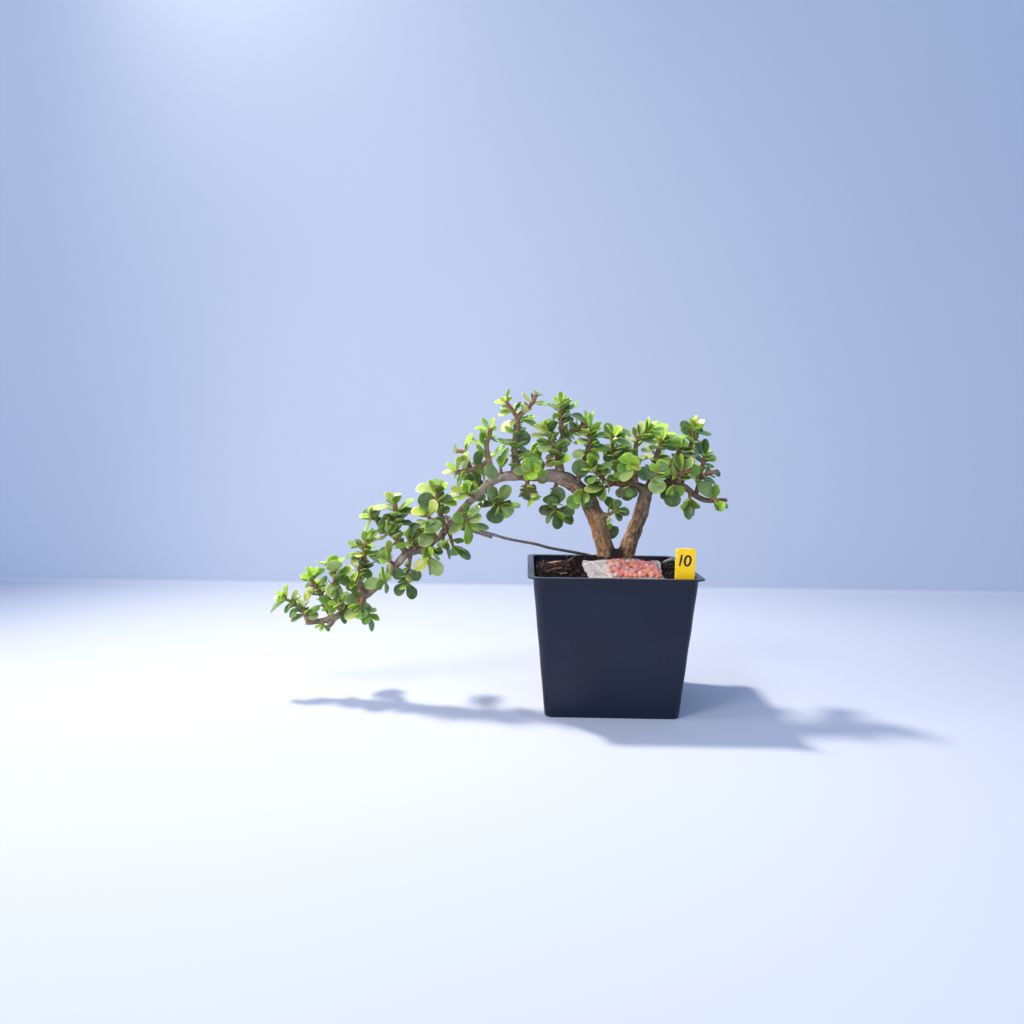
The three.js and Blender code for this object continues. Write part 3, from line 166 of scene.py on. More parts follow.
SPRAYS = [
    ["spray_tip", 11, "mbbbpdmgpggm",
     [[[-244, 58.5, 0, 2], [-246.5, 65, 0, 2.1], [-250.5, 71, 0, 1.8], [-257, 75, -1, 1.5],
      [-263, 77.5, -2, 1.2]]],
     [[4, -275, 66.5, 0, 3], [4, -272.5, 78, -1, 5.5], [4, -271.5, 83.5, 0, 3], [4, -261, 90, 0, 3],
      [3, -252, 85, 0, 4.5], [3, -250.5, 80.5, 1, 4], [3, -263.5, 66, 0, 4], [2, -259.5, 62.5, 0, 5],
      [2, -248.5, 77, -1, 7], [1, -258.5, 59.5, 0, 5], [0, -235.5, 64, -1, 7.5], [1, -234, 71, 0, 5.5]]],
    ["spray_star", 11, "bbbbbymmmm",
     [[[-224, 63, 3, 2.2], [-230, 72, 5, 2], [-233, 81, 5, 1.9], [-237, 88, 2, 1.7], [-240.5, 93, 0, 1.4],
      [-241, 97, -1, 1]]],
     [[4, -250, 97.5, 0, 4.5], [5, -245.5, 104.5, 0, 2.5], [4, -229.5, 102, 0, 4.5], [5, -235, 105, 1, 3],
      [5, -240, 104, -1, 5], [3, -247, 76.5, -1, 6.5], [4, -246.5, 87.5, 0, 3], [3, -228, 96, 0, 5],
      [3, -228, 91.5, 1, 4.5], [2, -244, 84, 1, 4]]],
    ["spray_far_fork", 15, "ppmmmbm",
     [[[-212, 70, 0, 2.7], [-219, 76, 0, 2.5], [-222.5, 84, 0, 2.1], [-221.5, 94, -1, 1.8],
      [-222, 100, -1, 1.5], [-225, 108, 1, 1.2]]],
     [[4, -223, 110, -1, 12.5], [3, -223.5, 79, -1, 14], [3, -207, 104, 0, 7], [3, -209, 91.5, 0, 6.5],
      [3, -232.5, 90.5, 1, 5], [5, -213, 111, 0, 3.5], [1, -211.5, 84.5, 1, 4.5]]],
    ["spray_far_low", 14, "mmdm",
     [[[-214, 67, -3, 1.7], [-219.5, 70.5, -7, 1.3], [-221, 74, -9, 1]]],
     [[1, -235, 79.5, 0, 7.5], [1, -227.5, 65.5, 0, 4.5], [0, -213.5, 57.5, 0, 4.5], [2, -215, 82, 1, 4]]],
    ["spray_far_under", 8, "bbm",
     [[[-231, 60, -1, 1.4], [-233, 56, -3, 1.1]]],
     [[1, -233.3, 50.8, 0, 3.5], [1, -238, 53.5, 0, 2.5], [1, -227.5, 51, 1, 3]]],
    ["spray_low_node", 14, "pgdgbm",
     [[[-199, 79, -2, 1.8], [-200.5, 73.5, -6, 1.4], [-201, 70, -8, 1.1]],
      [[-200.5, 73.5, -6, 1.3], [-197, 69, -3, 1.2], [-193.5, 65, -1, 1]]],
     [[1, -213.5, 61.5, 0, 8.5], [1, -213.5, 79.5, -1, 8.5], [5, -198.5, 72.5, -1, 9],
      [5, -191.3, 51.5, 0, 4.5], [5, -185.5, 61, 0, 4.5], [0, -191.5, 71.5, 1, 2.5]]],
    ["spray_fork", 14, "pmmmymmbpybmmbbmm",
     [[[-198, 81, 0, 2.6], [-201.5, 91, 0, 2.3], [-202, 101, 0, 2.2], [-198.5, 110, 0, 2.1],
      [-197, 117, -1, 1.9], [-197, 123, -1, 1.6], [-194, 127, -1, 1.1]],
      [[-202, 91, -1, 1.2], [-205, 92, -4, 1], [-207, 93.5, -6, 0.8]]],
     [[4, -208, 106, -1, 6.5], [4, -176.5, 113, 0, 7.5], [4, -184, 107.5, 1, 2.5], [4, -213, 112, 1, 3.5],
      [4, -204.5, 113, -1, 5], [5, -211.5, 125, 0, 4], [5, -209, 119.5, 0, 3.5], [6, -186, 134.5, 0, 3.5],
      [6, -200, 132.5, -1, 6], [5, -180, 129, 0, 3], [6, -191, 137, 1, 4], [2, -190, 107, 1, 4],
      [2, -191, 98, 1, 8], [9, -210, 97, 0, 2.5], [9, -203, 99.5, -1, 3], [8, -209.5, 87, 0, 3],
      [9, -213, 92.5, 0, 3]]],
    ["spray_crook", 15, "pybm",
     [[[-181, 96, -2, 1.9], [-180.5, 93.5, -7, 1.5], [-181, 93.5, -12, 1.1]]],
     [[1, -202.5, 90, 0, 9.5], [1, -176.5, 107, 0, 3.5], [1, -184, 104.5, -1, 3], [0, -179.5, 83, 0, 3.5]]],
    ["spray_crook_upper", 14, "pym",
     [[[-173, 107, -2, 1.6], [-177, 110, -6, 1.4], [-178.5, 111, -9, 1.1]]],
     [[2, -191, 98.5, 0, 7.5], [2, -178, 127, 0, 6], [1, -187, 117, 1, 4]]],
    ["spray_hanging", 12.5, "dddd",
     [[[-160, 115, -3, 1.8], [-161.5, 105, -6, 1.5], [-163, 97, -7, 1.3], [-163, 91, -7, 1]]],
     [[2, -174.5, 101, 0, 9.5], [2, -151, 99.5, 0, 9.5], [3, -172.5, 82.5, 0, 9], [3, -157, 79, 0, 9]]],
    ["spray_upright_stub", 14, "pybmddpmbbbmm",
     [[[-164, 118, 1, 2.6], [-169, 124, 0, 2.4], [-172.5, 132, 0, 2.3], [-171, 142, 0, 2.1],
      [-171.5, 150, 0, 1.9], [-172.5, 155.5, 0, 1.8], [-173, 161, 0, 1.8]],
      [[-172, 129, 0, 2.2], [-178, 133.5, 0, 2.2], [-184, 138, 0, 2.1], [-187.5, 144, 0, 1.9],
      [-188.5, 151, 0, 1.8]],
      [[-187.5, 143, -1, 1.3], [-191, 144.5, -3, 1.2], [-193, 146, -4, 0.9]]],
     [[5, -190.5, 151.5, 0, 4.5], [5, -180.5, 166, 0, 6], [4, -156.5, 160.5, 0, 4], [4, -157, 151, 0, 5.5],
      [3, -182.5, 147, 0, 6], [3, -158.5, 140.5, 0, 4.5], [3, -180, 134, -1, 8.5], [2, -161, 131, 0, 2.5],
      [14, -201.5, 146.5, 0, 4], [13, -198, 134, 0, 2.5], [14, -194, 153, 0, 3], [8, -187, 125, 0, 4],
      [9, -183, 146, 1, 4]]],
    ["spray_arm_low", 13, "mdm",
     [[[-155, 120.5, -2, 1.7], [-160, 126, -4, 1.4], [-163, 130, -5, 1.1]]],
     [[1, -149.5, 134, 0, 5], [2, -151.5, 140, 0, 3], [1, -172, 121, 1, 5]]],
    ["spray_arm_top", 14, "pbbgbg",
     [[[-131.5, 136, 2, 2.5], [-136, 149, 2, 2.1], [-138, 159, 0, 1.9], [-138.5, 165.5, 0, 1.7],
      [-138.5, 172, 0, 1.6]]],
     [[3, -156.5, 169.5, 0, 9], [3, -145, 176, 0, 4.5], [3, -130, 174, 0, 4.5], [2, -122, 165, 0, 5.5],
      [2, -122.5, 156.5, 0, 7], [1, -128, 153.5, -1, 6]]],
    ["spray_arm_face", 15, "dyymmg",
     [[[-140, 129, -3, 2], [-143, 138, -6, 1.7], [-145, 146, -9, 1.5], [-146, 150, -11, 1.1]]],
     [[3, -148, 167, 0, 13.5], [3, -159.5, 151, 0, 7], [3, -138.5, 158.5, -1, 9], [2, -139, 134, -1, 14],
      [1, -155.5, 138, 1, 4], [0, -152, 119.5, -1, 11.5]]],
    ["spray_arm_under", 13, "bypddm",
     [[[-142, 126, -3, 1.6], [-143.5, 119, -7, 1.3], [-145, 112.5, -9, 1.1]]],
     [[2, -142.5, 121.5, -1, 5.5], [2, -156.5, 103, 0, 9], [2, -135.5, 98.5, 0, 11],
      [1, -133.5, 117.5, 0, 6], [2, -143.5, 98.5, 1, 2.5], [1, -151, 119, 1, 4]]],
    ["spray_arm_drop", 15, "dm",
     [[[-133, 135, 3, 1.6], [-133.5, 127, -2, 1.1]]],
     [[1, -127.5, 110, 0, 2.5], [1, -129.5, 116, 1, 2.5]]],
    ["spray_wire_node", 13, "mgbppgm",
     [[[-119, 151, -3, 1.8], [-115.5, 146, -8, 1.5], [-113, 140.5, -10, 1.3]]],
     [[2, -125.5, 148, 0, 9], [2, -129, 133, 0, 7], [2, -113.5, 121.5, 0, 7.5], [1, -103.5, 155, -1, 6.5],
      [2, -102.5, 148, 0, 7], [2, -96.5, 137.5, 0, 5.5], [1, -115.5, 157.5, -1, 5.5]]],
    ["spray_drop", 16, "dm",
     [[[-129.5, 138, 3, 1.8], [-127, 128, -3, 1.4], [-125, 121.5, -5, 1.1]]],
     [[2, -110, 111.5, 0, 7], [1, -116.5, 127, 0, 4]]],
    ["spray_yellow_node", 12, "bybm",
     [[[-109, 163, -2, 1.7], [-113.5, 165.5, -6, 1.4], [-116.5, 167, -7, 1.1]]],
     [[2, -113.5, 176.5, 0, 7], [2, -128, 169, 0, 6], [1, -125, 160.5, 0, 4], [1, -103.5, 168.5, 1, 3]]],
    ["spray_round_leaves", 15, "ggdpmd",
     [[[-101, 169, 3, 1.7], [-95, 164, 3, 1.5], [-89.5, 157.5, -1, 1.4], [-87, 155, -3, 1.1]]],
     [[2, -98, 171.5, -1, 9], [2, -79, 173.5, 0, 10], [2, -92.5, 141.5, 0, 14], [3, -76.5, 151, 0, 9],
      [3, -71, 156, 1, 5], [2, -106, 156, 0, 5.5]]],
    ["spray_narrow_leaf", 14, "bm",
     [[[-87, 182, -2, 1.4], [-87.5, 187.5, -4, 1.1]]],
     [[1, -81, 204.5, 0, 4.5], [1, -82, 193.5, 1, 3.5]]],
    ["spray_red_stub", 15, "bbbbbbbbmgmdmdppbyb",
     [[[-93, 177, -1, 2.6], [-95, 186, -2, 2.4], [-97, 192.5, -3, 2.2], [-99, 204, -1, 1.9],
      [-97, 211, 0, 1.9], [-95.5, 218, 0, 1.7]],
      [[-97, 192, -3, 2.1], [-104, 187.5, -3, 2.1], [-111, 184.5, -2, 2], [-118, 183, -2, 2],
      [-124, 182.5, -2, 2]],
      [[-111, 185, -1, 1.6], [-117, 198, 4, 1.6], [-123, 199.5, 5, 1.7]]],
     [[2, -107, 204.5, 0, 4.5], [2, -81.5, 207.5, 0, 4], [5, -109, 217.5, 0, 3], [5, -91, 218.5, 0, 4],
      [5, -103, 226, 0, 3.5], [5, -93, 226.5, 0, 3], [3, -112.5, 210, 0, 3], [3, -105, 213, -1, 5],
      [4, -91, 208.5, 1, 3], [2, -94, 176.5, -1, 10], [7, -100, 176.5, 1, 3.5], [8, -104.5, 174.5, 0, 6],
      [9, -121.5, 171, 0, 3.5], [7, -107.5, 199, -1, 9], [9, -114, 199, 0, 6.5], [10, -134.5, 182, 0, 3.5],
      [10, -131, 190, 0, 4], [10, -122.5, 195, -1, 4.5], [12, -110.5, 214, 0, 4.5]]],
    ["spray_tall_fork", 15, "pbbbmpbdmmmbyyy",
     [[[-75, 182, 0, 4.4], [-75.5, 190, 0, 3.6], [-76, 197, 0, 2.8], [-76.5, 205, 0, 2.5],
      [-75, 216, 0, 2.4], [-74, 226.5, 0, 2.3], [-67.5, 233, 0, 1.8], [-62.5, 238.5, 0, 1.6],
      [-59.5, 245, 0, 1.6]],
      [[-74.5, 226, -1, 1.8], [-79, 233, -1, 1.5], [-84, 239.5, -1, 1.4]]],
     [[10, -88, 234.5, 0, 4], [10, -72, 237, 0, 4], [9, -90, 228, 0, 4.5], [5, -60, 227.5, 0, 3.5],
      [5, -58.5, 219.5, 0, 4.5], [5, -88, 215, 0, 7], [4, -84.5, 217, -1, 5.5], [4, -65.5, 206, 0, 11.5],
      [4, -65, 213.5, 1, 5], [3, -66, 200.5, 1, 3.5], [3, -90.5, 208.5, 0, 4], [7, -50.5, 237, 0, 2.5],
      [7, -71, 246, 0, 2.2], [11, -88.5, 242, 0, 3], [11, -79, 242.5, 0, 2.5]]],
    ["spray_bend_face", 14, "mbpbbg",
     [[[-62, 182, 0, 2], [-62, 184.5, -6, 1.6], [-62, 186, -13, 1.1]]],
     [[1, -64, 199.5, 0, 13], [2, -68.5, 193, -1, 5.5], [2, -54.5, 192.5, 0, 5], [1, -68, 177, 0, 6],
      [1, -50.5, 180.5, 0, 6], [1, -77, 183.5, 1, 8]]],
    ["spray_bend_under", 12, "ood",
     [[[-66, 178, -2, 2], [-65.5, 170, -5, 1.5], [-62, 163, -5, 1.2]]],
     [[1, -70, 167, -1, 5.5], [1, -58.5, 170, 0, 7], [1, -66, 160.5, 1, 8]]],
    ["spray_crown_left", 14, "yybbmppgoobbbymmmmgmgdbbg",
     [[[-40, 184, 0, 4], [-41, 192, 0, 3.1], [-42, 200, 0, 2.6], [-45.5, 206, 0, 2.1], [-48, 214, 0, 1.6],
      [-49, 219, 0, 1.2]],
      [[-42, 198, 1, 2.2], [-40, 206, 4, 2.1], [-38, 212, 4, 2], [-32, 215.5, 3, 2], [-24, 219, 1, 2.2],
      [-16.5, 221.5, 0, 2.3]],
      [[-38, 211, 4, 1.9], [-39.5, 222, 3, 1.7], [-40, 231, 2, 1.6], [-40, 238.5, 1, 1.2]]],
     [[4, -63.5, 212, 0, 4], [5, -61, 219, -1, 5.5], [5, -43.5, 224, 0, 5.5], [5, -54, 222, -1, 4],
      [3, -59, 208.5, 0, 5], [3, -32.5, 208, 0, 6], [3, -57, 200.5, -1, 8.5], [2, -34, 203, 0, 6],
      [2, -50, 193, -1, 4.5], [1, -52, 189, 0, 6.5], [1, -31.5, 195, -1, 7], [15, -46.5, 243, 0, 3.5],
      [15, -37, 246, 0, 3], [15, -42, 247, -1, 3.5], [14, -25.5, 240, 0, 3.5], [14, -52.5, 238.5, 0, 3],
      [14, -46.5, 225.5, 0, 4], [13, -55.5, 222, 0, 3.5], [13, -29.5, 226, 0, 4.5], [13, -33, 230, 1, 3],
      [11, -31.5, 229.5, 0, 5], [10, -33, 221, -1, 5.5], [11, -21.5, 233, 0, 2.5],
      [11, -13.5, 232.5, 0, 2.5], [8, -31, 209, 1, 5]]],
    ["spray_crown_mid", 14, "pbpmgmpmbb",
     [[[-26, 173, -3, 2.3], [-24, 185, 1, 2.1], [-20.5, 194, 0, 1.9], [-17.5, 201, -2, 1.7],
      [-16.5, 210, -3, 1.4], [-16, 218, -3, 1.2]]],
     [[5, -26.5, 214, 0, 4], [5, -9, 221, 0, 4.5], [4, -25.5, 206, -1, 6], [4, -29.5, 207, 1, 3],
      [4, 0, 213, 0, 4], [4, -8.5, 205.5, 0, 4.5], [3, -30, 196, 0, 7.5], [3, -1.5, 203, 0, 6.5],
      [3, -8.5, 195.5, 1, 6], [5, -18, 230, 1, 4]]],
    ["spray_crown_face", 16, "dbmym",
     [[[-4, 177, -1, 1.8], [-9, 182, -7, 1.5], [-14, 187, -10, 1.2]]],
     [[2, -31.5, 188, 0, 13], [2, -17, 199, 0, 6.5], [2, 2.5, 190.5, 0, 4.5], [1, 1, 185, 0, 5.5],
      [1, -15, 174.5, -1, 5]]],
    ["spray_crown_back", 15, "gbgbddm",
     [[[5, 176, 3, 2], [5, 190, 6, 1.8], [2.5, 202, 5, 1.5], [1, 210, 3, 1.3], [2, 214, 2, 1]]],
     [[4, -4, 223, -1, 7.5], [4, 7.5, 218.5, -1, 4.5], [4, 16, 214.5, 0, 7.5], [3, 18.5, 203.5, 0, 4.5],
      [2, 15.5, 196, 0, 11], [2, -4, 192, 0, 8], [3, -10, 216, 1, 4]]],
    ["spray_inner_short", 10, "bm",
     [[[7, 175, -2, 1.6], [5.5, 178.5, -6, 1.2]]],
     [[1, 9.5, 185.5, 0, 4], [1, -2, 180.5, 1, 5]]],
    ["spray_inner_left", 13, "ydpd",
     [[[2, 174, 0, 1.6], [-5, 171.5, -7, 1.2]]],
     [[1, -20.5, 168.5, -1, 6.5], [1, -20.5, 178, 0, 8], [1, -6, 160.5, 0, 7], [0, -14, 164.5, 1, 7]]],
    ["spray_crotch", 12, "dddd",
     [[[-6, 148.5, -3, 2.6], [-1, 149.5, -5, 1.6], [4, 152.5, -6, 1.1], [6, 154.5, -6, 0.9]]],
     [[3, 8, 162, 0, 6.5], [3, 16.5, 151.5, 0, 7], [2, 10, 145, 0, 5.5], [2, -2.5, 164.5, 0, 7.5]]],
    ["spray_behind_trunk", 13, "dd",
     [[[-4, 142, 3, 1.9], [-3, 140.5, 10, 1.4]]],
     [[1, 6.5, 132.5, 0, 12], [1, -9, 130, 1, 8]]],
    ["spray_shade", 13, "ddodddd",
     [[[-42, 176, 4, 1.8], [-45, 166, 7, 1.5], [-44, 156, 3, 1.2], [-43, 151, -1, 1]]],
     [[2, -39.5, 171.5, 0, 12], [3, -47, 164, -1, 9], [3, -56.5, 153, 0, 8.5], [3, -50.5, 142.5, 1, 5],
      [3, -27.5, 152, 0, 9.5], [3, -40.5, 137.5, 0, 9], [3, -28.5, 142.5, 0, 8.5]]],
    ["spray_bend_leaf", 14, "md",
     [[[-22, 168, -6, 1.6], [-22, 166, -10, 1.2]]],
     [[1, -32.5, 155.5, 0, 12], [1, -15.5, 155.5, 0, 8]]],
    ["spray_right_young", 14, "ypbbbpypbym",
     [[[20, 175, 0, 2.7], [20.3, 191, 0, 2.2], [20, 203, 0, 1.8], [21, 210, -1, 1.5], [24, 214, -2, 1.2]],
      [[21, 209, -1, 1.3], [26, 213, 1, 1.2], [30.5, 217, 1, 1.1]],
      [[20.3, 190, 0, 1.5], [18.5, 190, -5, 1.4], [17.5, 190, -10, 1.1]]],
     [[3, 17.5, 220, 0, 4], [4, 26, 224, -1, 7], [7, 38, 225, 0, 4], [7, 46.5, 222.5, 0, 5.5],
      [7, 28.5, 226, 0, 3], [3, 36.5, 207.5, 0, 4.5], [3, 12.5, 211.5, 0, 3], [10, 10, 175.5, -1, 8.5],
      [10, 6.5, 195, 0, 5], [10, 22.5, 185.5, -1, 5], [1, 28, 198, 1, 5]]],
    ["spray_right_top", 15, "bbbmppp",
     [[[31, 171, 3, 3.2], [34, 184, 4, 2.6], [37, 196, 4, 2.3], [40, 208, 2, 1.8], [41, 211, 1, 1.2]]],
     [[3, 33, 218, 0, 6], [4, 52, 215.5, 0, 5], [4, 45.5, 218, -1, 4], [3, 56, 207, 0, 6.5],
      [3, 24.5, 201, 0, 5.5], [2, 23, 194.5, 0, 4.5], [2, 46.5, 189, -1, 8]]],
    ["spray_right_back", 14, "gmmggm",
     [[[46, 176, 3, 2.5], [50, 188, 6, 2], [54, 200, 5, 1.6], [56, 204, 4, 1.2]]],
     [[3, 44.5, 204, 0, 5], [3, 57.5, 211, 0, 4], [3, 66.5, 202.5, 0, 3], [2, 70, 197, 0, 4.5],
      [2, 66, 190.5, 0, 6], [1, 42, 196, 1, 6]]],
    ["spray_right_tall", 13, "dybmmbdb",
     [[[57, 175, 4, 2.3], [60, 190, 8, 2], [63, 203, 6, 1.7], [65, 213, 3, 1.5], [65.5, 218, 1, 1.2],
      [68, 222, 0, 1]]],
     [[4, 54.5, 223.5, 0, 7], [5, 67.5, 230, 0, 3], [5, 74, 226.5, 0, 4], [4, 80, 215, 0, 3.5],
      [3, 55, 219, 0, 3.5], [3, 51.5, 212, 0, 3], [3, 72.5, 200, 1, 5.5], [5, 62, 226.5, -1, 3]]],
    ["spray_right_far", 12, "dbdgmmd",
     [[[69, 167, 3, 1.9], [72, 180, 5, 1.7], [74, 192, 5, 1.5], [75, 199, 4, 1.2]],
      [[72, 180, 5, 1.5], [77.5, 183.5, 1, 1.7], [83.5, 185, -1, 1.8]]],
     [[3, 76, 211, 0, 6], [3, 84.5, 195, 0, 6], [3, 63.5, 205, 1, 5], [1, 66, 190, 0, 6],
      [2, 83, 189, 0, 2.5], [1, 84.5, 175.5, 0, 4], [2, 69, 199, 1, 3]]],
    ["spray_right_face", 15, "gpbpm",
     [[[54, 176, -2, 2.6], [56.5, 182, -6, 2.2], [57, 187, -9, 1.6]],
      [[57, 183, -6, 1.8], [61, 185, -9, 1.8], [65, 186.5, -10, 1.8]]],
     [[2, 51, 198, 0, 5], [2, 66.5, 195, -1, 6.5], [2, 57, 199, -1, 3], [1, 39.5, 187.5, 0, 8],
      [1, 71, 179, 0, 4.5]]],
    ["spray_right_inner", 15, "bdpm",
     [[[33, 175, -4, 1.9], [36, 181, -9, 1.5], [38.5, 185, -12, 1.2]]],
     [[2, 32, 191, 0, 5.5], [2, 22, 183, 0, 11], [2, 38, 167, -1, 13.5], [1, 48, 181.5, 1, 5]]],
    ["spray_right_drop", 16, "dd",
     [[[49, 176, -2, 1.8], [50.5, 173, -6, 1.3]]],
     [[1, 51, 156.5, 0, 13], [0, 41.5, 163, 1, 6]]],
    ["spray_right_under", 11, "odd",
     [[[14, 174, -3, 1.6], [14.5, 171, -7, 1.2]]],
     [[1, 5.5, 165, 0, 8], [1, 21.5, 164.5, 0, 8], [1, 14, 161, 1, 9]]],
    ["spray_right_twig", 14, "dd",
     [[[64, 169, -1, 1.6], [64.3, 164, -3, 1.3], [64, 160, -4, 1]]],
     [[2, 63.7, 146.5, 0, 7], [2, 68, 150, 1, 3]]],
    ["spray_right_end", 12, "gmmm",
     [[[80, 162, -1, 1.8], [84, 163.5, -4, 1.5], [88, 161, -5, 1.1]]],
     [[0, 71, 176.5, 0, 11], [1, 85.5, 175, 0, 5.5], [1, 87.5, 153.5, 0, 3], [2, 95, 156.5, 0, 4]]],
]

BACK_STEMS = [
    ["spray_back_far", -205, 75, -8, 14, 26],
    ["spray_back_arm", -150, 121, -6, 12, 30],
    ["spray_back_slope", -107, 164, -6, 14, 28],
    ["spray_back_bend", -58, 181, -6, 16, 30],
    ["spray_back_crown", 14, 175, -4, 22, 32],
    ["spray_back_right", 52, 176, 6, 16, 30],
]

WIRE_POINTS = [
    [-13, 106, 10], [-15, 114, 10], [-19, 118, 9], [-26, 119, 8], [-40, 121, 8], [-50, 123, 7],
    [-60, 125.5, 7], [-80, 129, 6], [-90, 131.5, 5], [-100, 134.5, 3], [-108, 137.3, 0.5],
    [-116, 140.5, -1.4], [-122, 142.3, -3.2], [-126.6, 144.6, -3.4], [-130.4, 146.6, 0],
    [-131.6, 146.2, 5], [-129.3, 142.6, 9.2], [-124.9, 138.3, 9.4], [-120, 137.2, 5.6], [-112, 135.6, 3.6],
    [-104, 133.2, 5], [-94, 130.2, 7.6],
]

# How the leaves grow: the same rule as in the CAD part
CLEAR_STEM = 1.6
CLEAR_LEAF = 2.7
CLEAR_SISTER = 1.5
STEM_STEP = 1.5
SAMPLE_STATIONS = [[0.38, 0.5], [0.65, 0.8], [0.9, 0.6]]
DEPTH_TRIES = [0, 3, -3, 6, -6, 9, -9, 12, -12]
SCALE_TRIES = [1, 0.85, 0.7]
LEAN_SHARE = 0.8
SUNK = 1.6
OUT_OF_LIMB = 0.75
FILL_TRIES = 4
FILL_SWAY = 50
FILL_TONES = "mgdmb"
BACK_LONGEST = 15
TRUNK_OWNER = -1
WIRE_OWNER = -2


class Balls:
    """Balls to keep clear of: place, radius, owner, and how far along its leaf each one lies."""

    def __init__(self):
        self.rows = []
        self.array = np.zeros((0, 6))

    def add(self, at, radius, owner, t):
        self.rows.append([*at, radius, owner, t])

    def gaps(self, at):
        """The balls and the distances of some places from them."""
        if self.rows:
            self.array = np.vstack([self.array, self.rows])
            self.rows = []
        return self.array, np.linalg.norm(at[:, None, :] - self.array[None, :, :3], axis=2)


stem_balls = Balls()
leaf_balls = Balls()


def limb_points(rows):
    return [(place(x, z, y), r) for x, z, y, r in rows]


def add_stem_balls(points, owner):
    for (a, ra), (b, rb) in zip(points, points[1:]):
        count = max(1, math.ceil(float(np.linalg.norm(b - a)) / STEM_STEP))
        for j in range(count + 1):
            stem_balls.add(a + (b - a) * (j / count), ra + (rb - ra) * j / count, owner, 0)


def leaf_samples(leaf):
    along = leaf["tip"] - leaf["root"]
    across = unit(np.cross(unit(along), leaf["face"]))
    samples = [(leaf["tip"], 1.0)]
    for t, width in SAMPLE_STATIONS:
        for sideways in (-1, 0, 1):
            samples.append((leaf["root"] + along * t + across * (sideways * width * leaf["half"]), t))
    return samples


def is_clear(leaf, owner, clear_leaf, clear_sister):
    """A leaf's outer half also keeps clear of its own stem and of its sisters' outer halves."""
    samples = leaf_samples(leaf)
    at = np.array([p for p, _ in samples])
    outer = np.array([t > 0.5 for _, t in samples])
    stems, gap = stem_balls.gaps(at)
    own = stems[:, 4] == owner
    if (np.any(gap[:, ~own] <= stems[~own, 3] + CLEAR_STEM)
            or np.any(gap[outer][:, own] <= stems[own, 3] + clear_sister / 2)):
        return False
    leaves, gap = leaf_balls.gaps(at)
    own = leaves[:, 4] == owner
    sisters = own & (leaves[:, 5] >= 0.5)
    return not (np.any(gap[:, ~own] <= clear_leaf) or np.any(gap[outer][:, sisters] <= clear_sister))


def try_leaf(spray, leaf, tone, clear_leaf=CLEAR_LEAF, clear_sister=CLEAR_SISTER):
    """Adds a leaf to its spray if nothing is in its way, and says so."""
    if not is_clear(leaf, spray["owner"], clear_leaf, clear_sister):
        return False
    for at, t in leaf_samples(leaf):
        leaf_balls.add(at, 0, spray["owner"], t)
    spray["leaves"].append({**leaf, "tone": tone})
    return True


def face_of(root, tip, looks_wide, half):
    """The way a leaf's face looks, so that it looks as wide as in the photograph."""
    along = unit(tip - root)
    facing = square_to(unit(EYE - root), along)
    edge_on = unit(np.cross(facing, along))
    if edge_on[2] < 0:
        edge_on = -edge_on
    share = min(1, looks_wide / (2 * half))
    return unit(facing * share + edge_on * math.sqrt(1 - share * share))


def root_place(points, k):
    if k == 0:
        return points[0][0] + (points[1][0] - points[0][0]) * OUT_OF_LIMB
    back = SUNK if k == len(points) - 1 else 0
    return points[k][0] - unit(points[k][0] - points[k - 1][0]) * back


def add_listed_leaf(spray, roots, entry, tone):
    """The leaf of a table row, tried at other depths and then smaller until it is clear."""
    start, x, z, lean, looks_wide = entry
    root = roots[start]
    flat = float(np.linalg.norm(place(x, z, root[1]) - root))
    length = min(max(spray["longest"], flat), LEAF_LONGEST)
    reach = math.sqrt(max(0, length * length - flat * flat))
    for scale in SCALE_TRIES:
        for shift in DEPTH_TRIES:
            tip = place(x, z, root[1] + lean * reach * LEAN_SHARE + shift)
            span = float(np.linalg.norm(tip - root))
            tip = root + (tip - root) * (min(1, LEAF_LONGEST / span) * scale)
            half = max(looks_wide / 2, WIDTH_TO_LENGTH * min(length, span) * 0.5) * scale
            face = face_of(root, tip, looks_wide * scale, half)
            if try_leaf(spray, {"root": root, "tip": tip, "face": face, "half": half}, tone):
                return


def sprout(root, along, turn, rise, length, half):
    """A leaf that leaves its stem at a turn round it and rises along it."""
    away = square_to(np.array([0.0, 1.0, 0.0]), along)
    beside = unit(np.cross(along, away))
    out = unit(beside * math.cos(turn) + away * math.sin(turn) + along * rise)
    return {"root": root, "tip": root + out * length, "face": square_to(along, out), "half": half}


def fill_angles(far_side, k):
    if far_side:
        return [90, 270] if k % 2 else [0, 180]
    return [] if k % 2 else [90]


def fill_leaves(spray):
    """Leaves on the sides of the stems that the photograph doesn't show."""
    draw = seeded_random(spray["owner"] + 1)
    count = 0
    for points in spray["stems"]:
        for k in range(1, len(points)):
            along = unit(points[k][0] - points[k - 1][0])
            for angle in fill_angles(spray["far_side"], k):
                for _ in range(FILL_TRIES):
                    turn = math.radians(angle + (next(draw) - 0.5) * FILL_SWAY)
                    rise = 0.25 + next(draw) * 0.5
                    length = max(LEAF_SHORTEST, spray["longest"] * (0.75 + next(draw) * 0.25))
                    half = WIDTH_TO_LENGTH * length * 0.5
                    leaf = sprout(root_place(points, k), along, turn, rise, length, half)
                    if try_leaf(spray, leaf, FILL_TONES[(count * 3 + spray["owner"]) % len(FILL_TONES)]):
                        count += 1
                        break


def back_stem(x, z, lean, rise, reach):
    """A stem that curves up from a limb, away from the camera."""
    foot = place(x, z, 0)
    return [(foot + np.array([lean * t, reach * (0.08 + 0.92 * t), rise * t * t]), 2 - t)
            for t in (0, 0.25, 0.5, 0.75, 1)]


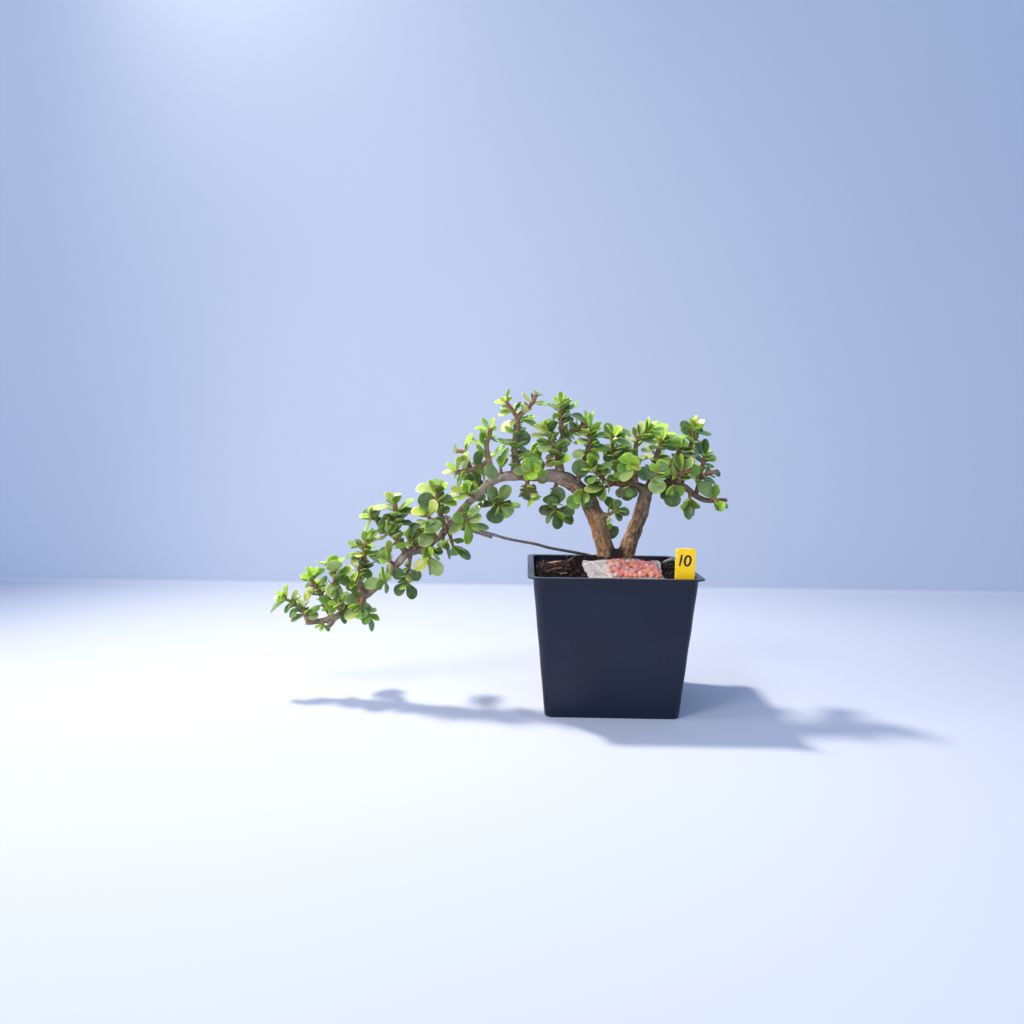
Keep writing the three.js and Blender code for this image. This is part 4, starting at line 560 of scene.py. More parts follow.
# Small leaves between the large ones, which only the fine model has
SMALL_CLEAR_LEAF = 2.1
SMALL_CLEAR_SISTER = 1.1
SMALL_TRIES = 3
SMALL_SWAY = 60
SMALL_CHANCE = 0.95
SMALL_TONES = "mbgmdbpmgd"
LONG_STRETCH = 7
BARE_END = 1.5
SPARSE = {"spray_red_stub": 0.15, "spray_tall_fork": 0.4}


def small_leaf_places(points):
    """Places along a stem, with the direction there. A cut end stays bare."""
    last = len(points) - 1
    for k in range(1, len(points)):
        a, b = points[k - 1][0], points[k][0]
        along = unit(b - a)
        if k < last or points[k][1] < BARE_END:
            if float(np.linalg.norm(b - a)) > LONG_STRETCH:
                yield k * 2 - 1, (a + b) / 2, along
            yield k * 2, root_place(points, k), along


def add_small_leaves(spray):
    draw = seeded_random(spray["owner"] + 900)
    chance = SPARSE.get(spray["name"], SMALL_CHANCE)
    count = 0
    for points in spray["stems"]:
        last = 2 * (len(points) - 1)
        for step, root, along in small_leaf_places(points):
            for quarter in (30, 210, 120):
                if next(draw) > chance:
                    continue
                for _ in range(SMALL_TRIES):
                    turn = math.radians(quarter + 90 * (step % 2) + (next(draw) - 0.5) * SMALL_SWAY)
                    rise = (0.35 if step < last else 0.6) + next(draw) * 0.6
                    length = spray["longest"] * (0.48 + next(draw) * 0.42)
                    half = (0.36 + 0.08 * next(draw)) * length
                    young = step >= last - 1 and count % 3
                    tone = "b" if young else SMALL_TONES[count % len(SMALL_TONES)]
                    leaf = sprout(root, along, turn, rise, length, half)
                    if try_leaf(spray, leaf, tone, SMALL_CLEAR_LEAF, SMALL_CLEAR_SISTER):
                        count += 1
                        break


def grow_all():
    """All sprays with their stems and leaves, in the order of the CAD part."""
    for rows in TRUNK_LIMBS:
        add_stem_balls(limb_points(rows), TRUNK_OWNER)
    add_stem_balls([(place(x, z, y), WIRE_RADIUS) for x, z, y in WIRE_POINTS], WIRE_OWNER)
    rows = [[name, longest, tones, [limb_points(stem) for stem in stems], entries, False]
            for name, longest, tones, stems, entries in SPRAYS]
    rows += [[name, BACK_LONGEST, "", [back_stem(*shape)], [], True] for name, *shape in BACK_STEMS]
    keys = ["name", "longest", "tones", "stems", "entries", "far_side"]
    sprays = [{**dict(zip(keys, row)), "owner": owner, "leaves": []} for owner, row in enumerate(rows)]
    for spray in sprays:
        for points in spray["stems"]:
            add_stem_balls(points, spray["owner"])
    for spray in sprays:
        roots = [root_place(points, k) for points in spray["stems"] for k in range(len(points))]
        for entry, tone in zip(spray["entries"], spray["tones"]):
            add_listed_leaf(spray, roots, entry, tone)
    for spray in sprays:
        fill_leaves(spray)
    for spray in sprays:
        add_small_leaves(spray)
    return sprays


# Faces of rings, grids and loops of points
def ring_quads(rings, n):
    return [[i * n + j, i * n + (j + 1) % n, (i + 1) * n + (j + 1) % n, (i + 1) * n + j]
            for i in range(rings - 1) for j in range(n)]


def close_to_points(rings, n, foot, tip):
    """A skin of rings with n points each, drawn in to a point at both ends."""
    faces = ring_quads(rings, n)
    last = (rings - 1) * n
    for j in range(n):
        k = (j + 1) % n
        faces += [[last + j, last + k, tip], [k, j, foot]]
    return faces


def close_flat(rings, n):
    """A skin of rings with n points each, with a flat face at both ends."""
    last = (rings - 1) * n
    return ring_quads(rings, n) + [list(range(n))[::-1], list(range(last, last + n))]


def grid_quads(across, deep):
    corners = [j * across + i for j in range(deep - 1) for i in range(across - 1)]
    return [[a, a + 1, a + across + 1, a + across] for a in corners]


def grid_rim(across, deep):
    """The points round a grid, in order."""
    right = [j * across + across - 1 for j in range(1, deep)]
    back = [(deep - 1) * across + i for i in range(across - 2, -1, -1)]
    return list(range(across)) + right + back + [j * across for j in range(deep - 2, 0, -1)]


def belt(upper, lower):
    """Faces between two loops of points."""
    return [[upper[i], upper[i - 1], lower[i - 1], lower[i]] for i in range(len(upper))]


def quarter_circle(cx, cy, radius, start, steps):
    turns = [math.radians(start + 90 * i / steps) for i in range(steps + 1)]
    return [(cx + radius * math.cos(a), cy + radius * math.sin(a)) for a in turns]


# Meshes
def set_tones(mesh, colours):
    """One colour for each vertex, which the materials read."""
    rgba = np.ones((len(colours), 4), np.float32)
    rgba[:, :3] = np.clip(colours, 0, 1)
    mesh.attributes.new("tone", "FLOAT_COLOR", "POINT").data.foreach_set("color", rgba.ravel())


def make_object(name, vertices, faces, materials, kinds=None, colours=None, smooth=True):
    """An object from vertices in millimetres. kinds are the faces' material numbers."""
    mesh = bpy.data.meshes.new(name)
    mesh.from_pydata((np.asarray(vertices, float) * MM).tolist(), [], faces)
    for material in materials:
        mesh.materials.append(material)
    if kinds is not None:
        mesh.polygons.foreach_set("material_index", np.asarray(kinds, np.int32))
    mesh.polygons.foreach_set("use_smooth", [smooth] * len(mesh.polygons))
    if colours is not None:
        set_tones(mesh, colours)
    mesh.validate()
    mesh.update()
    piece = bpy.data.objects.new(name, mesh)
    bpy.context.scene.collection.objects.link(piece)
    return piece


class Heap:
    """Parts gathered for one mesh. All of them have colours, or none has."""

    def __init__(self):
        self.vertices, self.faces, self.kinds, self.colours = [], [], [], []
        self.count = 0

    def add(self, vertices, faces, colours=None, kinds=None):
        self.vertices.append(vertices)
        self.faces += [[q + self.count for q in face] for face in faces]
        self.kinds += kinds or [0] * len(faces)
        if colours is not None:
            self.colours.append(np.broadcast_to(colours, (len(vertices), 3)))
        self.count += len(vertices)

    def make(self, name, materials, smooth=True):
        colours = np.vstack(self.colours) if self.colours else None
        return make_object(name, np.vstack(self.vertices), self.faces, materials, self.kinds, colours, smooth)


def register(piece, slot, *nodes):
    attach(piece, "root")
    if nodes:
        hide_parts(*nodes)


def apply_modifiers(piece):
    graph = bpy.context.evaluated_depsgraph_get()
    mesh = bpy.data.meshes.new_from_object(piece.evaluated_get(graph))
    piece.modifiers.clear()
    piece.data = mesh
    return mesh


def icosphere(level):
    shape = bmesh.new()
    bmesh.ops.create_icosphere(shape, subdivisions=level, radius=1)
    vertices = np.array([v.co[:] for v in shape.verts])
    faces = [[v.index for v in f.verts] for f in shape.faces]
    shape.free()
    return vertices, faces


def smooth_step(low, high, value):
    share = np.clip((value - low) / (high - low), 0, 1)
    return share * share * (3 - 2 * share)


def noise_at(points, scale, seed=0.0):
    """Smooth noise from -1 to 1 at points in millimetres."""
    shift = Vector((seed * 17.3, seed * 5.1, seed * 9.7))
    return np.array([noise.noise(Vector(p) * scale + shift) for p in np.asarray(points, float)])


# Materials
class Shader:
    """A node material under construction."""

    def __init__(self, name, **constants):
        self.material = bpy.data.materials.new(name)
        self.material.use_nodes = True
        self.tree = self.material.node_tree
        self.skin = self.tree.nodes["Principled BSDF"]
        self.coords = self.add("TexCoord").outputs["Object"]
        self.set(self.skin, **constants)

    def set(self, node, **constants):
        for socket, value in constants.items():
            node.inputs[socket.replace("_", " ")].default_value = value

    def add(self, kind, **settings):
        node = self.tree.nodes.new("ShaderNode" + kind)
        for key, value in settings.items():
            setattr(node, key, value)
        return node

    def link(self, output, socket):
        self.tree.links.new(output, socket)

    def noise(self, scale, detail=3, stretch=(1, 1, 1), distortion=0.0, roughness=0.5):
        mapping = self.add("Mapping")
        self.set(mapping, Scale=stretch)
        self.link(self.coords, mapping.inputs["Vector"])
        node = self.add("TexNoise")
        self.set(node, Scale=scale, Detail=detail, Distortion=distortion, Roughness=roughness)
        self.link(mapping.outputs["Vector"], node.inputs["Vector"])
        return node.outputs["Fac"]

    def ramp(self, value, *stops):
        """Stops are pairs of a position and a grey or a colour."""
        node = self.add("ValToRGB")
        elements = node.color_ramp.elements
        while len(elements) < len(stops):
            elements.new(0.5)
        for element, (position, colour) in zip(elements, stops):
            element.position = position
            rgb = colour if isinstance(colour, tuple) else (colour, colour, colour)
            element.color = (*rgb, 1)
        self.link(value, node.inputs["Fac"])
        return node.outputs["Color"]

    def mix(self, a, b, factor, blend="MIX"):
        node = self.add("Mix", data_type="RGBA", blend_type=blend)
        if isinstance(factor, (int, float)):
            node.inputs[0].default_value = factor
        else:
            self.link(factor, node.inputs[0])
        for value, socket in ((a, node.inputs[6]), (b, node.inputs[7])):
            if isinstance(value, tuple):
                socket.default_value = (*value, 1)
            else:
                self.link(value, socket)
        return node.outputs[2]

    def span(self, value, low, high):
        node = self.add("MapRange")
        self.set(node, To_Min=low, To_Max=high)
        self.link(value, node.inputs["Value"])
        return node.outputs["Result"]

    def height(self, output):
        """The third number of a vector."""
        node = self.add("SeparateXYZ")
        self.link(output, node.inputs[0])
        return node.outputs["Z"]

    def tone(self):
        return self.add("Attribute", attribute_name="tone").outputs["Color"]

    def colour(self, output):
        self.link(output, self.skin.inputs["Base Color"])

    def roughness(self, value, low, high):
        self.link(self.span(value, low, high), self.skin.inputs["Roughness"])

    def bump(self, height, distance, strength):
        node = self.add("Bump")
        self.set(node, Distance=distance, Strength=strength)
        self.link(height, node.inputs["Height"])
        previous = self.skin.inputs["Normal"].links
        if previous:
            self.link(previous[0].from_socket, node.inputs["Normal"])
        self.link(node.outputs["Normal"], self.skin.inputs["Normal"])


def mottled_material(name, noise_settings, stops, roughness, bump, **constants):
    """A material whose mesh gives its tone, which one noise mottles, roughens and raises."""
    s = Shader(name, **constants)
    mottle = s.noise(**noise_settings)
    s.colour(s.mix(s.tone(), s.ramp(mottle, *stops), 1.0, "MULTIPLY"))
    s.roughness(mottle, *roughness)
    s.bump(mottle, *bump)
    return s.material


def leaf_material():
    s = Shader("leaf_skin", Subsurface_Weight=0.35, Subsurface_Scale=0.0022, Specular_IOR_Level=0.5,
               Coat_Weight=0.06, Coat_Roughness=0.2, Subsurface_Radius=(0.8, 1.0, 0.15))
    clouds = s.noise(120, 2)
    tinted = s.mix(s.tone(), s.ramp(clouds, (0.3, 0.76), (0.7, 1.2)), 1.0, "MULTIPLY")
    bloom = s.ramp(s.noise(300, 3), (0.46, 0.0), (0.75, 0.3))
    s.colour(s.mix(tinted, (0.44, 0.52, 0.32), bloom))
    s.roughness(clouds, 0.27, 0.44)
    s.bump(s.noise(700, 2), 0.00012, 0.4)
    return s.material


def bark_material():
    s = Shader("bark", Specular_IOR_Level=0.25)
    patches = s.noise(90, 5, distortion=0.8, roughness=0.6)
    fine = s.noise(520, 6, (1, 1, 0.6), 1.2, 0.65)
    base = s.mix(s.tone(), s.ramp(patches, (0.3, 0.55), (0.5, 0.95), (0.72, 1.35)), 1.0, "MULTIPLY")
    base = s.mix(base, s.ramp(fine, (0.32, 0.45), (0.5, 1.0), (0.7, 1.25)), 0.8, "MULTIPLY")
    s.colour(s.mix(base, (0.23, 0.20, 0.17), s.ramp(s.noise(60, 3), (0.52, 0.0), (0.68, 0.4))))
    s.roughness(fine, 0.7, 0.95)
    s.bump(patches, 0.0012, 0.5)
    s.bump(fine, 0.0008, 0.9)
    return s.material


def pot_material():
    s = Shader("pot_plastic", Specular_IOR_Level=0.37)
    clouds = s.noise(22, 4, distortion=0.4)
    base = s.ramp(clouds, (0.3, (0.0030, 0.0075, 0.0240)), (0.7, (0.0065, 0.0120, 0.0340)))
    # Upward faces such as the rim top are lighter: a little dust, and a painted sheen where the light falls
    # on them.
    top_dust_and_painted_sheen = s.ramp(s.height(s.add("NewGeometry").outputs["Normal"]), (0.8, 0.0), (0.98, 0.85))
    base = s.mix(base, (0.040, 0.052, 0.085), top_dust_and_painted_sheen)
    specks = s.ramp(s.noise(1500, 2, distortion=0.2), (0.72, 0.0), (0.78, 0.3))
    s.colour(s.mix(base, (0.32, 0.30, 0.28), specks))
    s.roughness(clouds, 0.30, 0.44)
    s.bump(s.noise(420, 3), 0.00025, 0.25)
    return s.material


def label_material_with_painted_glow():
    # The emission is painted light: a glow standing in for light shining through the thin plastic.
    s = Shader("label_plastic", Specular_IOR_Level=0.45, Subsurface_Weight=0.6, Subsurface_Scale=0.006,
               Emission_Strength=0.2, Emission_Color=(1.0, 0.62, 0.0, 1))
    clouds = s.noise(120, 3)
    base = s.ramp(clouds, (0.3, (0.98, 0.61, 0.001)), (0.7, (1.0, 0.66, 0.002)))
    s.colour(s.mix(base, (0.55, 0.40, 0.05), s.ramp(s.noise(1300, 2), (0.66, 0.0), (0.8, 0.15))))
    s.roughness(clouds, 0.38, 0.5)
    s.bump(s.noise(700, 2), 0.0001, 0.3)
    return s.material


def ink_material():
    s = Shader("ink", Specular_IOR_Level=0.35)
    wear = s.noise(900, 4)
    s.colour(s.ramp(wear, (0.35, (0.020, 0.008, 0.005)), (0.75, (0.06, 0.026, 0.012))))
    s.roughness(wear, 0.5, 0.7)
    return s.material


def film_material():
    """Clear film, more opaque where the mesh's tone is light and where it glints."""
    s = Shader("film", Specular_IOR_Level=0.7, IOR=1.48)
    creases = s.noise(150, 3, (1, 0.7, 1), 2.2, 0.55)
    s.colour(s.ramp(creases, (0.3, (0.93, 0.80, 0.72)), (0.7, (1.0, 0.91, 0.83))))
    s.roughness(creases, 0.12, 0.3)
    glints = s.ramp(creases, (0.62, 0.0), (0.7, 0.2))
    s.link(s.mix(s.span(s.tone(), 0.05, 0.84), glints, 1.0, "ADD"), s.skin.inputs["Alpha"])
    s.bump(creases, 0.001, 0.6)
    return s.material


def stage_material():
    """One tone for the floor, and a slightly deeper one for the wall above it."""
    s = Shader("stage", Specular_IOR_Level=0.2)
    clouds = s.noise(1.6, 2)
    floor = s.ramp(clouds, (0.3, (0.50, 0.545, 0.67)), (0.7, (0.52, 0.565, 0.69)))
    wall = s.ramp(clouds, (0.3, (0.545, 0.605, 0.73)), (0.7, (0.575, 0.635, 0.76)))
    s.colour(s.mix(floor, wall, s.ramp(s.height(s.coords), (0.0, 0.0), (0.01, 1.0))))
    s.roughness(clouds, 0.75, 0.85)
    return s.material


# Leaves: thick blades that are widest past their middle. All tones are linear colours.
# Dark tones stand partly for older leaves and partly for painted shade on leaves that lie in shade; pale ones
# partly for waxy bloom and partly for painted sunlight.
LEAF_TONES = {
    "d": (0.084, 0.162, 0.028),
    "m": (0.175, 0.335, 0.030),
    "g": (0.215, 0.315, 0.085),
    "b": (0.360, 0.610, 0.042),
    "p": (0.420, 0.525, 0.160),
    "y": (0.520, 0.590, 0.090),
    "o": (0.125, 0.105, 0.015),
}
# Pale leaf margin tone, partly a painted highlight where the rounded rim catches light.
RIM_AND_HIGHLIGHT_TONE = np.array([0.72, 0.74, 0.12])
LEAF_FOOT = np.array([0.400, 0.470, 0.055])
STEM_OLD = np.array([0.350, 0.215, 0.125])
STEM_RED = np.array([0.315, 0.135, 0.068])
STEM_GREEN = np.array([0.320, 0.330, 0.065])
CUT_TONE = np.array([0.560, 0.260, 0.210])
LEAF_T = np.array([0, 0.05, 0.11, 0.19, 0.29, 0.4, 0.52, 0.64, 0.75, 0.845, 0.915, 0.963, 0.99])
LEAF_SECTION = 14
LEAF_PLUMP = 1.07
LEAF_PETIOLE = 0.13
LEAF_FULL = 1.13
LEAF_SPREAD = 0.6
LEAF_WIDEST = 0.55
LEAF_USUAL = 14
LEAF_BOW = (-0.07, 0.07)
LEAF_CUP = (0.12, 0.46)
LEAF_LOP = (-0.06, 0.06)
LEAF_THICKNESS = (0.62, 0.82)
LEAF_SHADE = (0.86, 1.14)
LEAF_WARMTH = (0.92, 1.08)
LEAF_GROOVE = 0.1
LEAF_ABOVE = 0.55
LEAF_BELOW = 1.15
RIM_FROM = 0.76
RIM_AND_HIGHLIGHT_SHARE = 0.62
TIP_FROM = 0.92
TIP_AND_HIGHLIGHT_SHARE = 0.5
GLOW_TO = 0.34
GLOW_SHARE = 0.55
UNDER_SHADE = 0.9


def leaf_outline(t):
    taper = np.clip(t / LEAF_SPREAD, 0, 1)
    blade = taper ** 0.85 * (1 - 0.12 * taper)
    tip = np.sqrt(np.clip(1 - (np.clip(t - LEAF_WIDEST, 0, 1) / (1 - LEAF_WIDEST)) ** 2.3, 0, 1))
    return np.maximum(LEAF_PETIOLE * (1 - t), LEAF_FULL * blade * tip)


def leaf_shell(leaf, draw):
    """Vertices, faces and colours of one thick leaf: flatter above, rounder below."""
    along, face = leaf["tip"] - leaf["root"], leaf["face"]
    length = float(np.linalg.norm(along))
    across = unit(np.cross(unit(along), face))
    half = leaf["half"] * LEAF_PLUMP
    bow, cup, lop = between(draw, *LEAF_BOW), between(draw, *LEAF_CUP), between(draw, *LEAF_LOP)
    thick = between(draw, *LEAF_THICKNESS) * (0.55 + 0.45 * length / LEAF_USUAL)
    shade, warm = between(draw, *LEAF_SHADE), between(draw, *LEAF_WARMTH)
    tone = np.array(LEAF_TONES[leaf["tone"]]) * shade * np.array([warm, 1, 1 / warm])

    theta = 2 * np.pi * np.arange(LEAF_SECTION) / LEAF_SECTION
    side, lift = np.cos(theta), np.sin(theta)
    side = np.sign(side) * np.abs(side) ** 0.85
    lift = np.where(lift > 0, LEAF_ABOVE * np.abs(lift) ** 0.8, -LEAF_BELOW * np.abs(lift) ** 0.9)
    t, width = LEAF_T[:, None], leaf_outline(LEAF_T)[:, None]
    body = thick * (0.4 + 0.6 * width) * np.minimum(1, width / 0.55) ** 0.5
    x = side * width * half + lop * half * np.sin(np.pi * t)
    z = lift * body + cup * side ** 2 * width ** 2 * half * 0.6 + bow * length * 4 * t * (1 - t)
    z -= LEAF_GROOVE * np.exp(-(side / 0.16) ** 2) * width * (lift > 0)
    rings = leaf["root"] + along * t[..., None] + across * x[..., None] + face * z[..., None]

    # Paler rim and tip: partly the leaf's pale margin, partly a painted highlight where the rounded rim and
    # the tip catch light.
    edge = RIM_AND_HIGHLIGHT_SHARE * np.clip((np.abs(side) - RIM_FROM) / (1 - RIM_FROM), 0, 1) * np.minimum(1, t * 3)
    edge = np.maximum(edge, TIP_AND_HIGHLIGHT_SHARE * np.maximum(0, (t - TIP_FROM) / (1 - TIP_FROM)))[..., None]
    under = np.where(lift < 0, UNDER_SHADE, 1.0)[:, None]
    blade = tone * under * (1 - edge) + RIM_AND_HIGHLIGHT_TONE * tone.max() * 1.5 * edge
    glow = (GLOW_SHARE * np.maximum(0, 1 - t / GLOW_TO) * (0.4 + 0.6 * (lift > 0)))[..., None]
    colours = blade * (1 - glow) + LEAF_FOOT * glow

    stations = len(LEAF_T)
    root = stations * LEAF_SECTION
    return (np.vstack([rings.reshape(-1, 3), leaf["root"], leaf["tip"]]),
            close_to_points(stations, LEAF_SECTION, root, root + 1),
            np.vstack([colours.reshape(-1, 3), STEM_GREEN, tone * 0.7 + RIM_AND_HIGHLIGHT_TONE * 0.1]))


# Stems and limbs
STEM_STEPS = 5
STEM_ROUND = 10
CUT_RADIUS = 1.55
CUT_SHADE = (0.85, 1.15)
ROUNDED_END = [(0.86, 0.12), (0.5, 0.16)]
NODE_SWELL = 0.13
NODE_LENGTH = 0.12
STEM_SHADE = (0.8, 1.2)
OLD_RADIUS = 2.3
YOUNG_RADIUS = 1.35


def smooth_path(points, steps):
    """A curve through the points, each with its radius, and how far along the list each one is."""
    at = [p for p, _ in points]
    at = [2 * at[0] - at[1]] + at + [2 * at[-1] - at[-2]]
    out = []
    for i in range(len(points) - 1):
        p0, p1, p2, p3 = at[i:i + 4]
        last = i == len(points) - 2
        for j in range(steps + (1 if last else 0)):
            t = j / steps
            spot = 0.5 * (2 * p1 + (p2 - p0) * t + (2 * p0 - 5 * p1 + 4 * p2 - p3) * t * t
                          + (3 * p1 - p0 - 3 * p2 + p3) * t ** 3)
            radius = points[i][1] + (points[i + 1][1] - points[i][1]) * t
            out.append((spot, radius, i + t))
    return out


def path_step(path, i):
    """From the place before to the place after."""
    return path[min(i + 1, len(path) - 1)][0] - path[max(i - 1, 0)][0]


def tube(path, sides, swell=None):
    """Rings of vertices round a path with a rounded end, their faces and their number."""
    vertices = []
    up = np.array([0.0, -1.0, 0.0])
    turn = 2 * np.pi * np.arange(sides) / sides
    for i, (spot, radius, share) in enumerate(path):
        along = unit(path_step(path, i))
        across = unit(np.cross(up, along))
        up = unit(np.cross(along, across))
        size = radius * (swell(share) if swell else 1)
        ring = np.outer(np.cos(turn), across) + np.outer(np.sin(turn), up)
        vertices.append(spot + ring * size)
    for shrink, forward in ROUNDED_END:
        vertices.append(spot + ring * size * shrink + along * size * forward)
    rings = len(vertices)
    vertices += [vertices[-1].mean(0), path[0][0]]
    return np.vstack(vertices), close_to_points(rings, sides, rings * sides + 1, rings * sides), rings


def node_swell(share):
    """Stems are thicker at their nodes."""
    off = abs(share - round(share))
    return 1 + NODE_SWELL * math.exp(-(off / NODE_LENGTH) ** 2) if share > 0.4 else 1


def stem_colour(radius):
    if radius > OLD_RADIUS:
        return STEM_OLD
    if radius > YOUNG_RADIUS:
        share = (radius - YOUNG_RADIUS) / (OLD_RADIUS - YOUNG_RADIUS)
        return STEM_RED * (1 - share) + STEM_OLD * share
    return STEM_RED * 0.55 + STEM_GREEN * 0.45


def add_stem(heap, points, draw):
    """A stem with its rings of bark, and with a pink end where it was cut."""
    path = smooth_path(points, STEM_STEPS)
    vertices, faces, rings = tube(path, STEM_ROUND, node_swell)
    radii = [path[min(i, len(path) - 1)][1] for i in range(rings)]
    tones = np.array([stem_colour(radius) * between(draw, *STEM_SHADE) for radius in radii])
    tint = np.vstack([np.repeat(tones, STEM_ROUND, axis=0), tones[-1:], tones[-1:]])
    end = (rings - 2) * STEM_ROUND
    kinds = [1] * len(faces)
    if points[-1][1] >= CUT_RADIUS:
        tint[end:] = CUT_TONE * between(draw, *CUT_SHADE)
        kinds = [2 if min(face) >= end else 1 for face in faces]
    heap.add(vertices, faces, tint, kinds)


def build_spray(spray, materials):
    draw = seeded_random(spray["owner"] + 500)
    heap = Heap()
    for points in spray["stems"]:
        add_stem(heap, points, draw)
    for leaf in spray["leaves"]:
        heap.add(*leaf_shell(leaf, draw))
    register(heap.make(spray["name"] + "_fine", materials), "leaf", spray["name"])


# Trunk: tubes and a stump joined in one skin, then worked with bark
TRUNK_VOXEL = 0.75
TRUNK_SOFTENING = 5
LIMB_STEPS = 6
LIMB_ROUND = 24
LIMB_CUT_RADIUS = 1.95
STUMP_ROUND = 40
STUMP_LEAST = 0.05
RUN_SHIFT = 40
POINTS_AT_ONCE = 4000
GRAIN_TURN = 0.4
GRAIN_RUN = 0.1276
BROAD_RELIEF = 0.5
KNOB_RELIEF = 0.6
FINE_RELIEF = 0.5
FISSURE_DEPTH = 0.95
FISSURE_WIDTH = 0.08
SCAR_DEPTH = 0.55
SCAR_PACE = 0.43
FULL_RELIEF_RADIUS = 6.5
BARK_TAN = np.array([0.390, 0.250, 0.145])
BARK_PAINTED_SUNLIT_ORANGE = np.array([0.560, 0.290, 0.110])
BARK_GREY = np.array([0.370, 0.300, 0.230])
BARK_SLATE = np.array([0.150, 0.140, 0.145])
BARK_BROWN = np.array([0.270, 0.150, 0.072])
BARK_PALE = np.array([0.600, 0.450, 0.350])
# Near black: painted shade for the fork between the two trunks.
BARK_FORK_PAINTED_SHADE = np.array([0.030, 0.016, 0.013])

# Layers over the brown bark: tone, share, and the measures that fade it, each with the values
# where the layer ends and where it is full
BARK_LAYERS = [
    (BARK_GREY, 0.75, [("x", -85, -110)]),
    (BARK_TAN * 1.15, 0.75, [("x", -12, -30), ("x", -130, -85)]),
    (BARK_SLATE, 0.8, [("up", -0.1, 0.6), ("x", -4, -14), ("z", 150, 172), ("x", -70, -40)]),
    (BARK_TAN, 0.55, [("x", 10, -2), ("z", 172, 150), ("x", -30, -14)]),
    # Painted sunlight: orange on the left-facing side of both trunks, where the light falls.
    (BARK_PAINTED_SUNLIT_ORANGE, 0.95, [("left",), ("x", 12, 0), ("z", 165, 140), ("x", -26, -14)]),
    (BARK_PAINTED_SUNLIT_ORANGE, 0.2, [("left",), ("x", 8, 16), ("z", 150, 128)]),
    (BARK_GREY * 0.8, 0.4, [("x", 11, 17), ("z", 122, 142)]),
    (BARK_GREY, 0.35, [("knobs", 0.1, 0.5)]),
    # Pale flakes on the left trunk, made brighter by painted sunlight on its left-facing side.
    (BARK_PAINTED_SUNLIT_ORANGE * 1.3, 0.5, [("fine", 0.08, 0.35), ("left", 0.35, 0.8), ("z", 165, 150)]),
    (BARK_BROWN * 0.4, 0.4, [("fine", -0.1, -0.4)]),
    (BARK_BROWN * 0.25, 0.45, [("fissures",)]),
    (BARK_BROWN * 0.3, 0.6, [("scars",)]),
    (BARK_BROWN * 0.4, 0.7, [("z", 116, 109), ("off_stump", 30, 24)]),
    (BARK_TAN * 1.05, 0.5, [("broad", 0.05, 0.45), ("x", -150, -60)]),
    (BARK_PALE, 0.85, [("worn", -0.15, 0.25), ("x", -30, -55)]),
    # Painted shade: near black in the fork between the two trunks, above the stump.
    (BARK_FORK_PAINTED_SHADE, 0.93, [("off_stump", 8.5, 3.5), ("z", 129, 121)]),
]


def stump_shell():
    turn = 2 * np.pi * np.arange(STUMP_ROUND) / STUMP_ROUND
    rings = []
    for radius, z in STUMP_OUTLINE:
        size = max(radius, STUMP_LEAST)
        y = size * np.sin(turn) * STUMP_FLATNESS
        rings.append(np.column_stack([STUMP_X + size * np.cos(turn), y, np.full(STUMP_ROUND, z)]))
    return np.vstack(rings), close_flat(len(rings), STUMP_ROUND)


def trunk_skin():
    heap = Heap()
    heap.add(*stump_shell())
    for rows in TRUNK_LIMBS:
        vertices, faces, _ = tube(smooth_path(limb_points(rows), LIMB_STEPS), LIMB_ROUND)
        heap.add(vertices, faces)
    piece = heap.make("trunk_fine", [])
    remesh = piece.modifiers.new("skin", "REMESH")
    remesh.mode = "VOXEL"
    remesh.voxel_size = TRUNK_VOXEL * MM
    softened = piece.modifiers.new("soften", "SMOOTH")
    softened.iterations = TRUNK_SOFTENING
    return piece


def read_points(mesh, key):
    values = np.empty(len(mesh.vertices) * 3)
    mesh.vertices.foreach_get(key, values)
    return values.reshape(-1, 3)


def nearest_on_limbs(at):
    """Place, radius, direction and run of the limbs where they are nearest to each point. The run
    is the way along a limb, from a number of its own."""
    spine = []
    for rows in TRUNK_LIMBS:
        path = smooth_path(limb_points(rows), LIMB_STEPS)
        run = RUN_SHIFT * len(spine)
        for i, (spot, radius, _) in enumerate(path):
            step = path_step(path, i)
            run += float(np.linalg.norm(step)) / 2
            spine.append([*spot, radius, *unit(step), run])
    spine = np.array(spine)
    nearest = np.empty(len(at), int)
    for i in range(0, len(at), POINTS_AT_ONCE):
        gap = np.linalg.norm(at[i:i + POINTS_AT_ONCE, None, :] - spine[None, :, :3], axis=2)
        nearest[i:i + POINTS_AT_ONCE] = np.argmin(gap - spine[None, :, 3], axis=1)
    spine = spine[nearest]
    return spine[:, :3], spine[:, 3], spine[:, 4:7], spine[:, 7]


def bark_colours(at, measures):
    colours = np.tile(BARK_BROWN, (len(at), 1))
    for tone, share, fades in BARK_LAYERS:
        part = np.full((len(at), 1), share)
        for key, *ends in fades:
            fade = smooth_step(*ends, measures[key]) if ends else measures[key]
            part *= fade[:, None]
        colours = colours * (1 - part) + tone * part
    for rows in TRUNK_LIMBS:
        if rows[-1][3] < LIMB_CUT_RADIUS:
            near = np.linalg.norm(at - limb_points(rows)[-1][0], axis=1)
            part = smooth_step(2.6, 1.6, near)[:, None]
            colours = colours * (1 - part) + CUT_TONE * part
    return colours


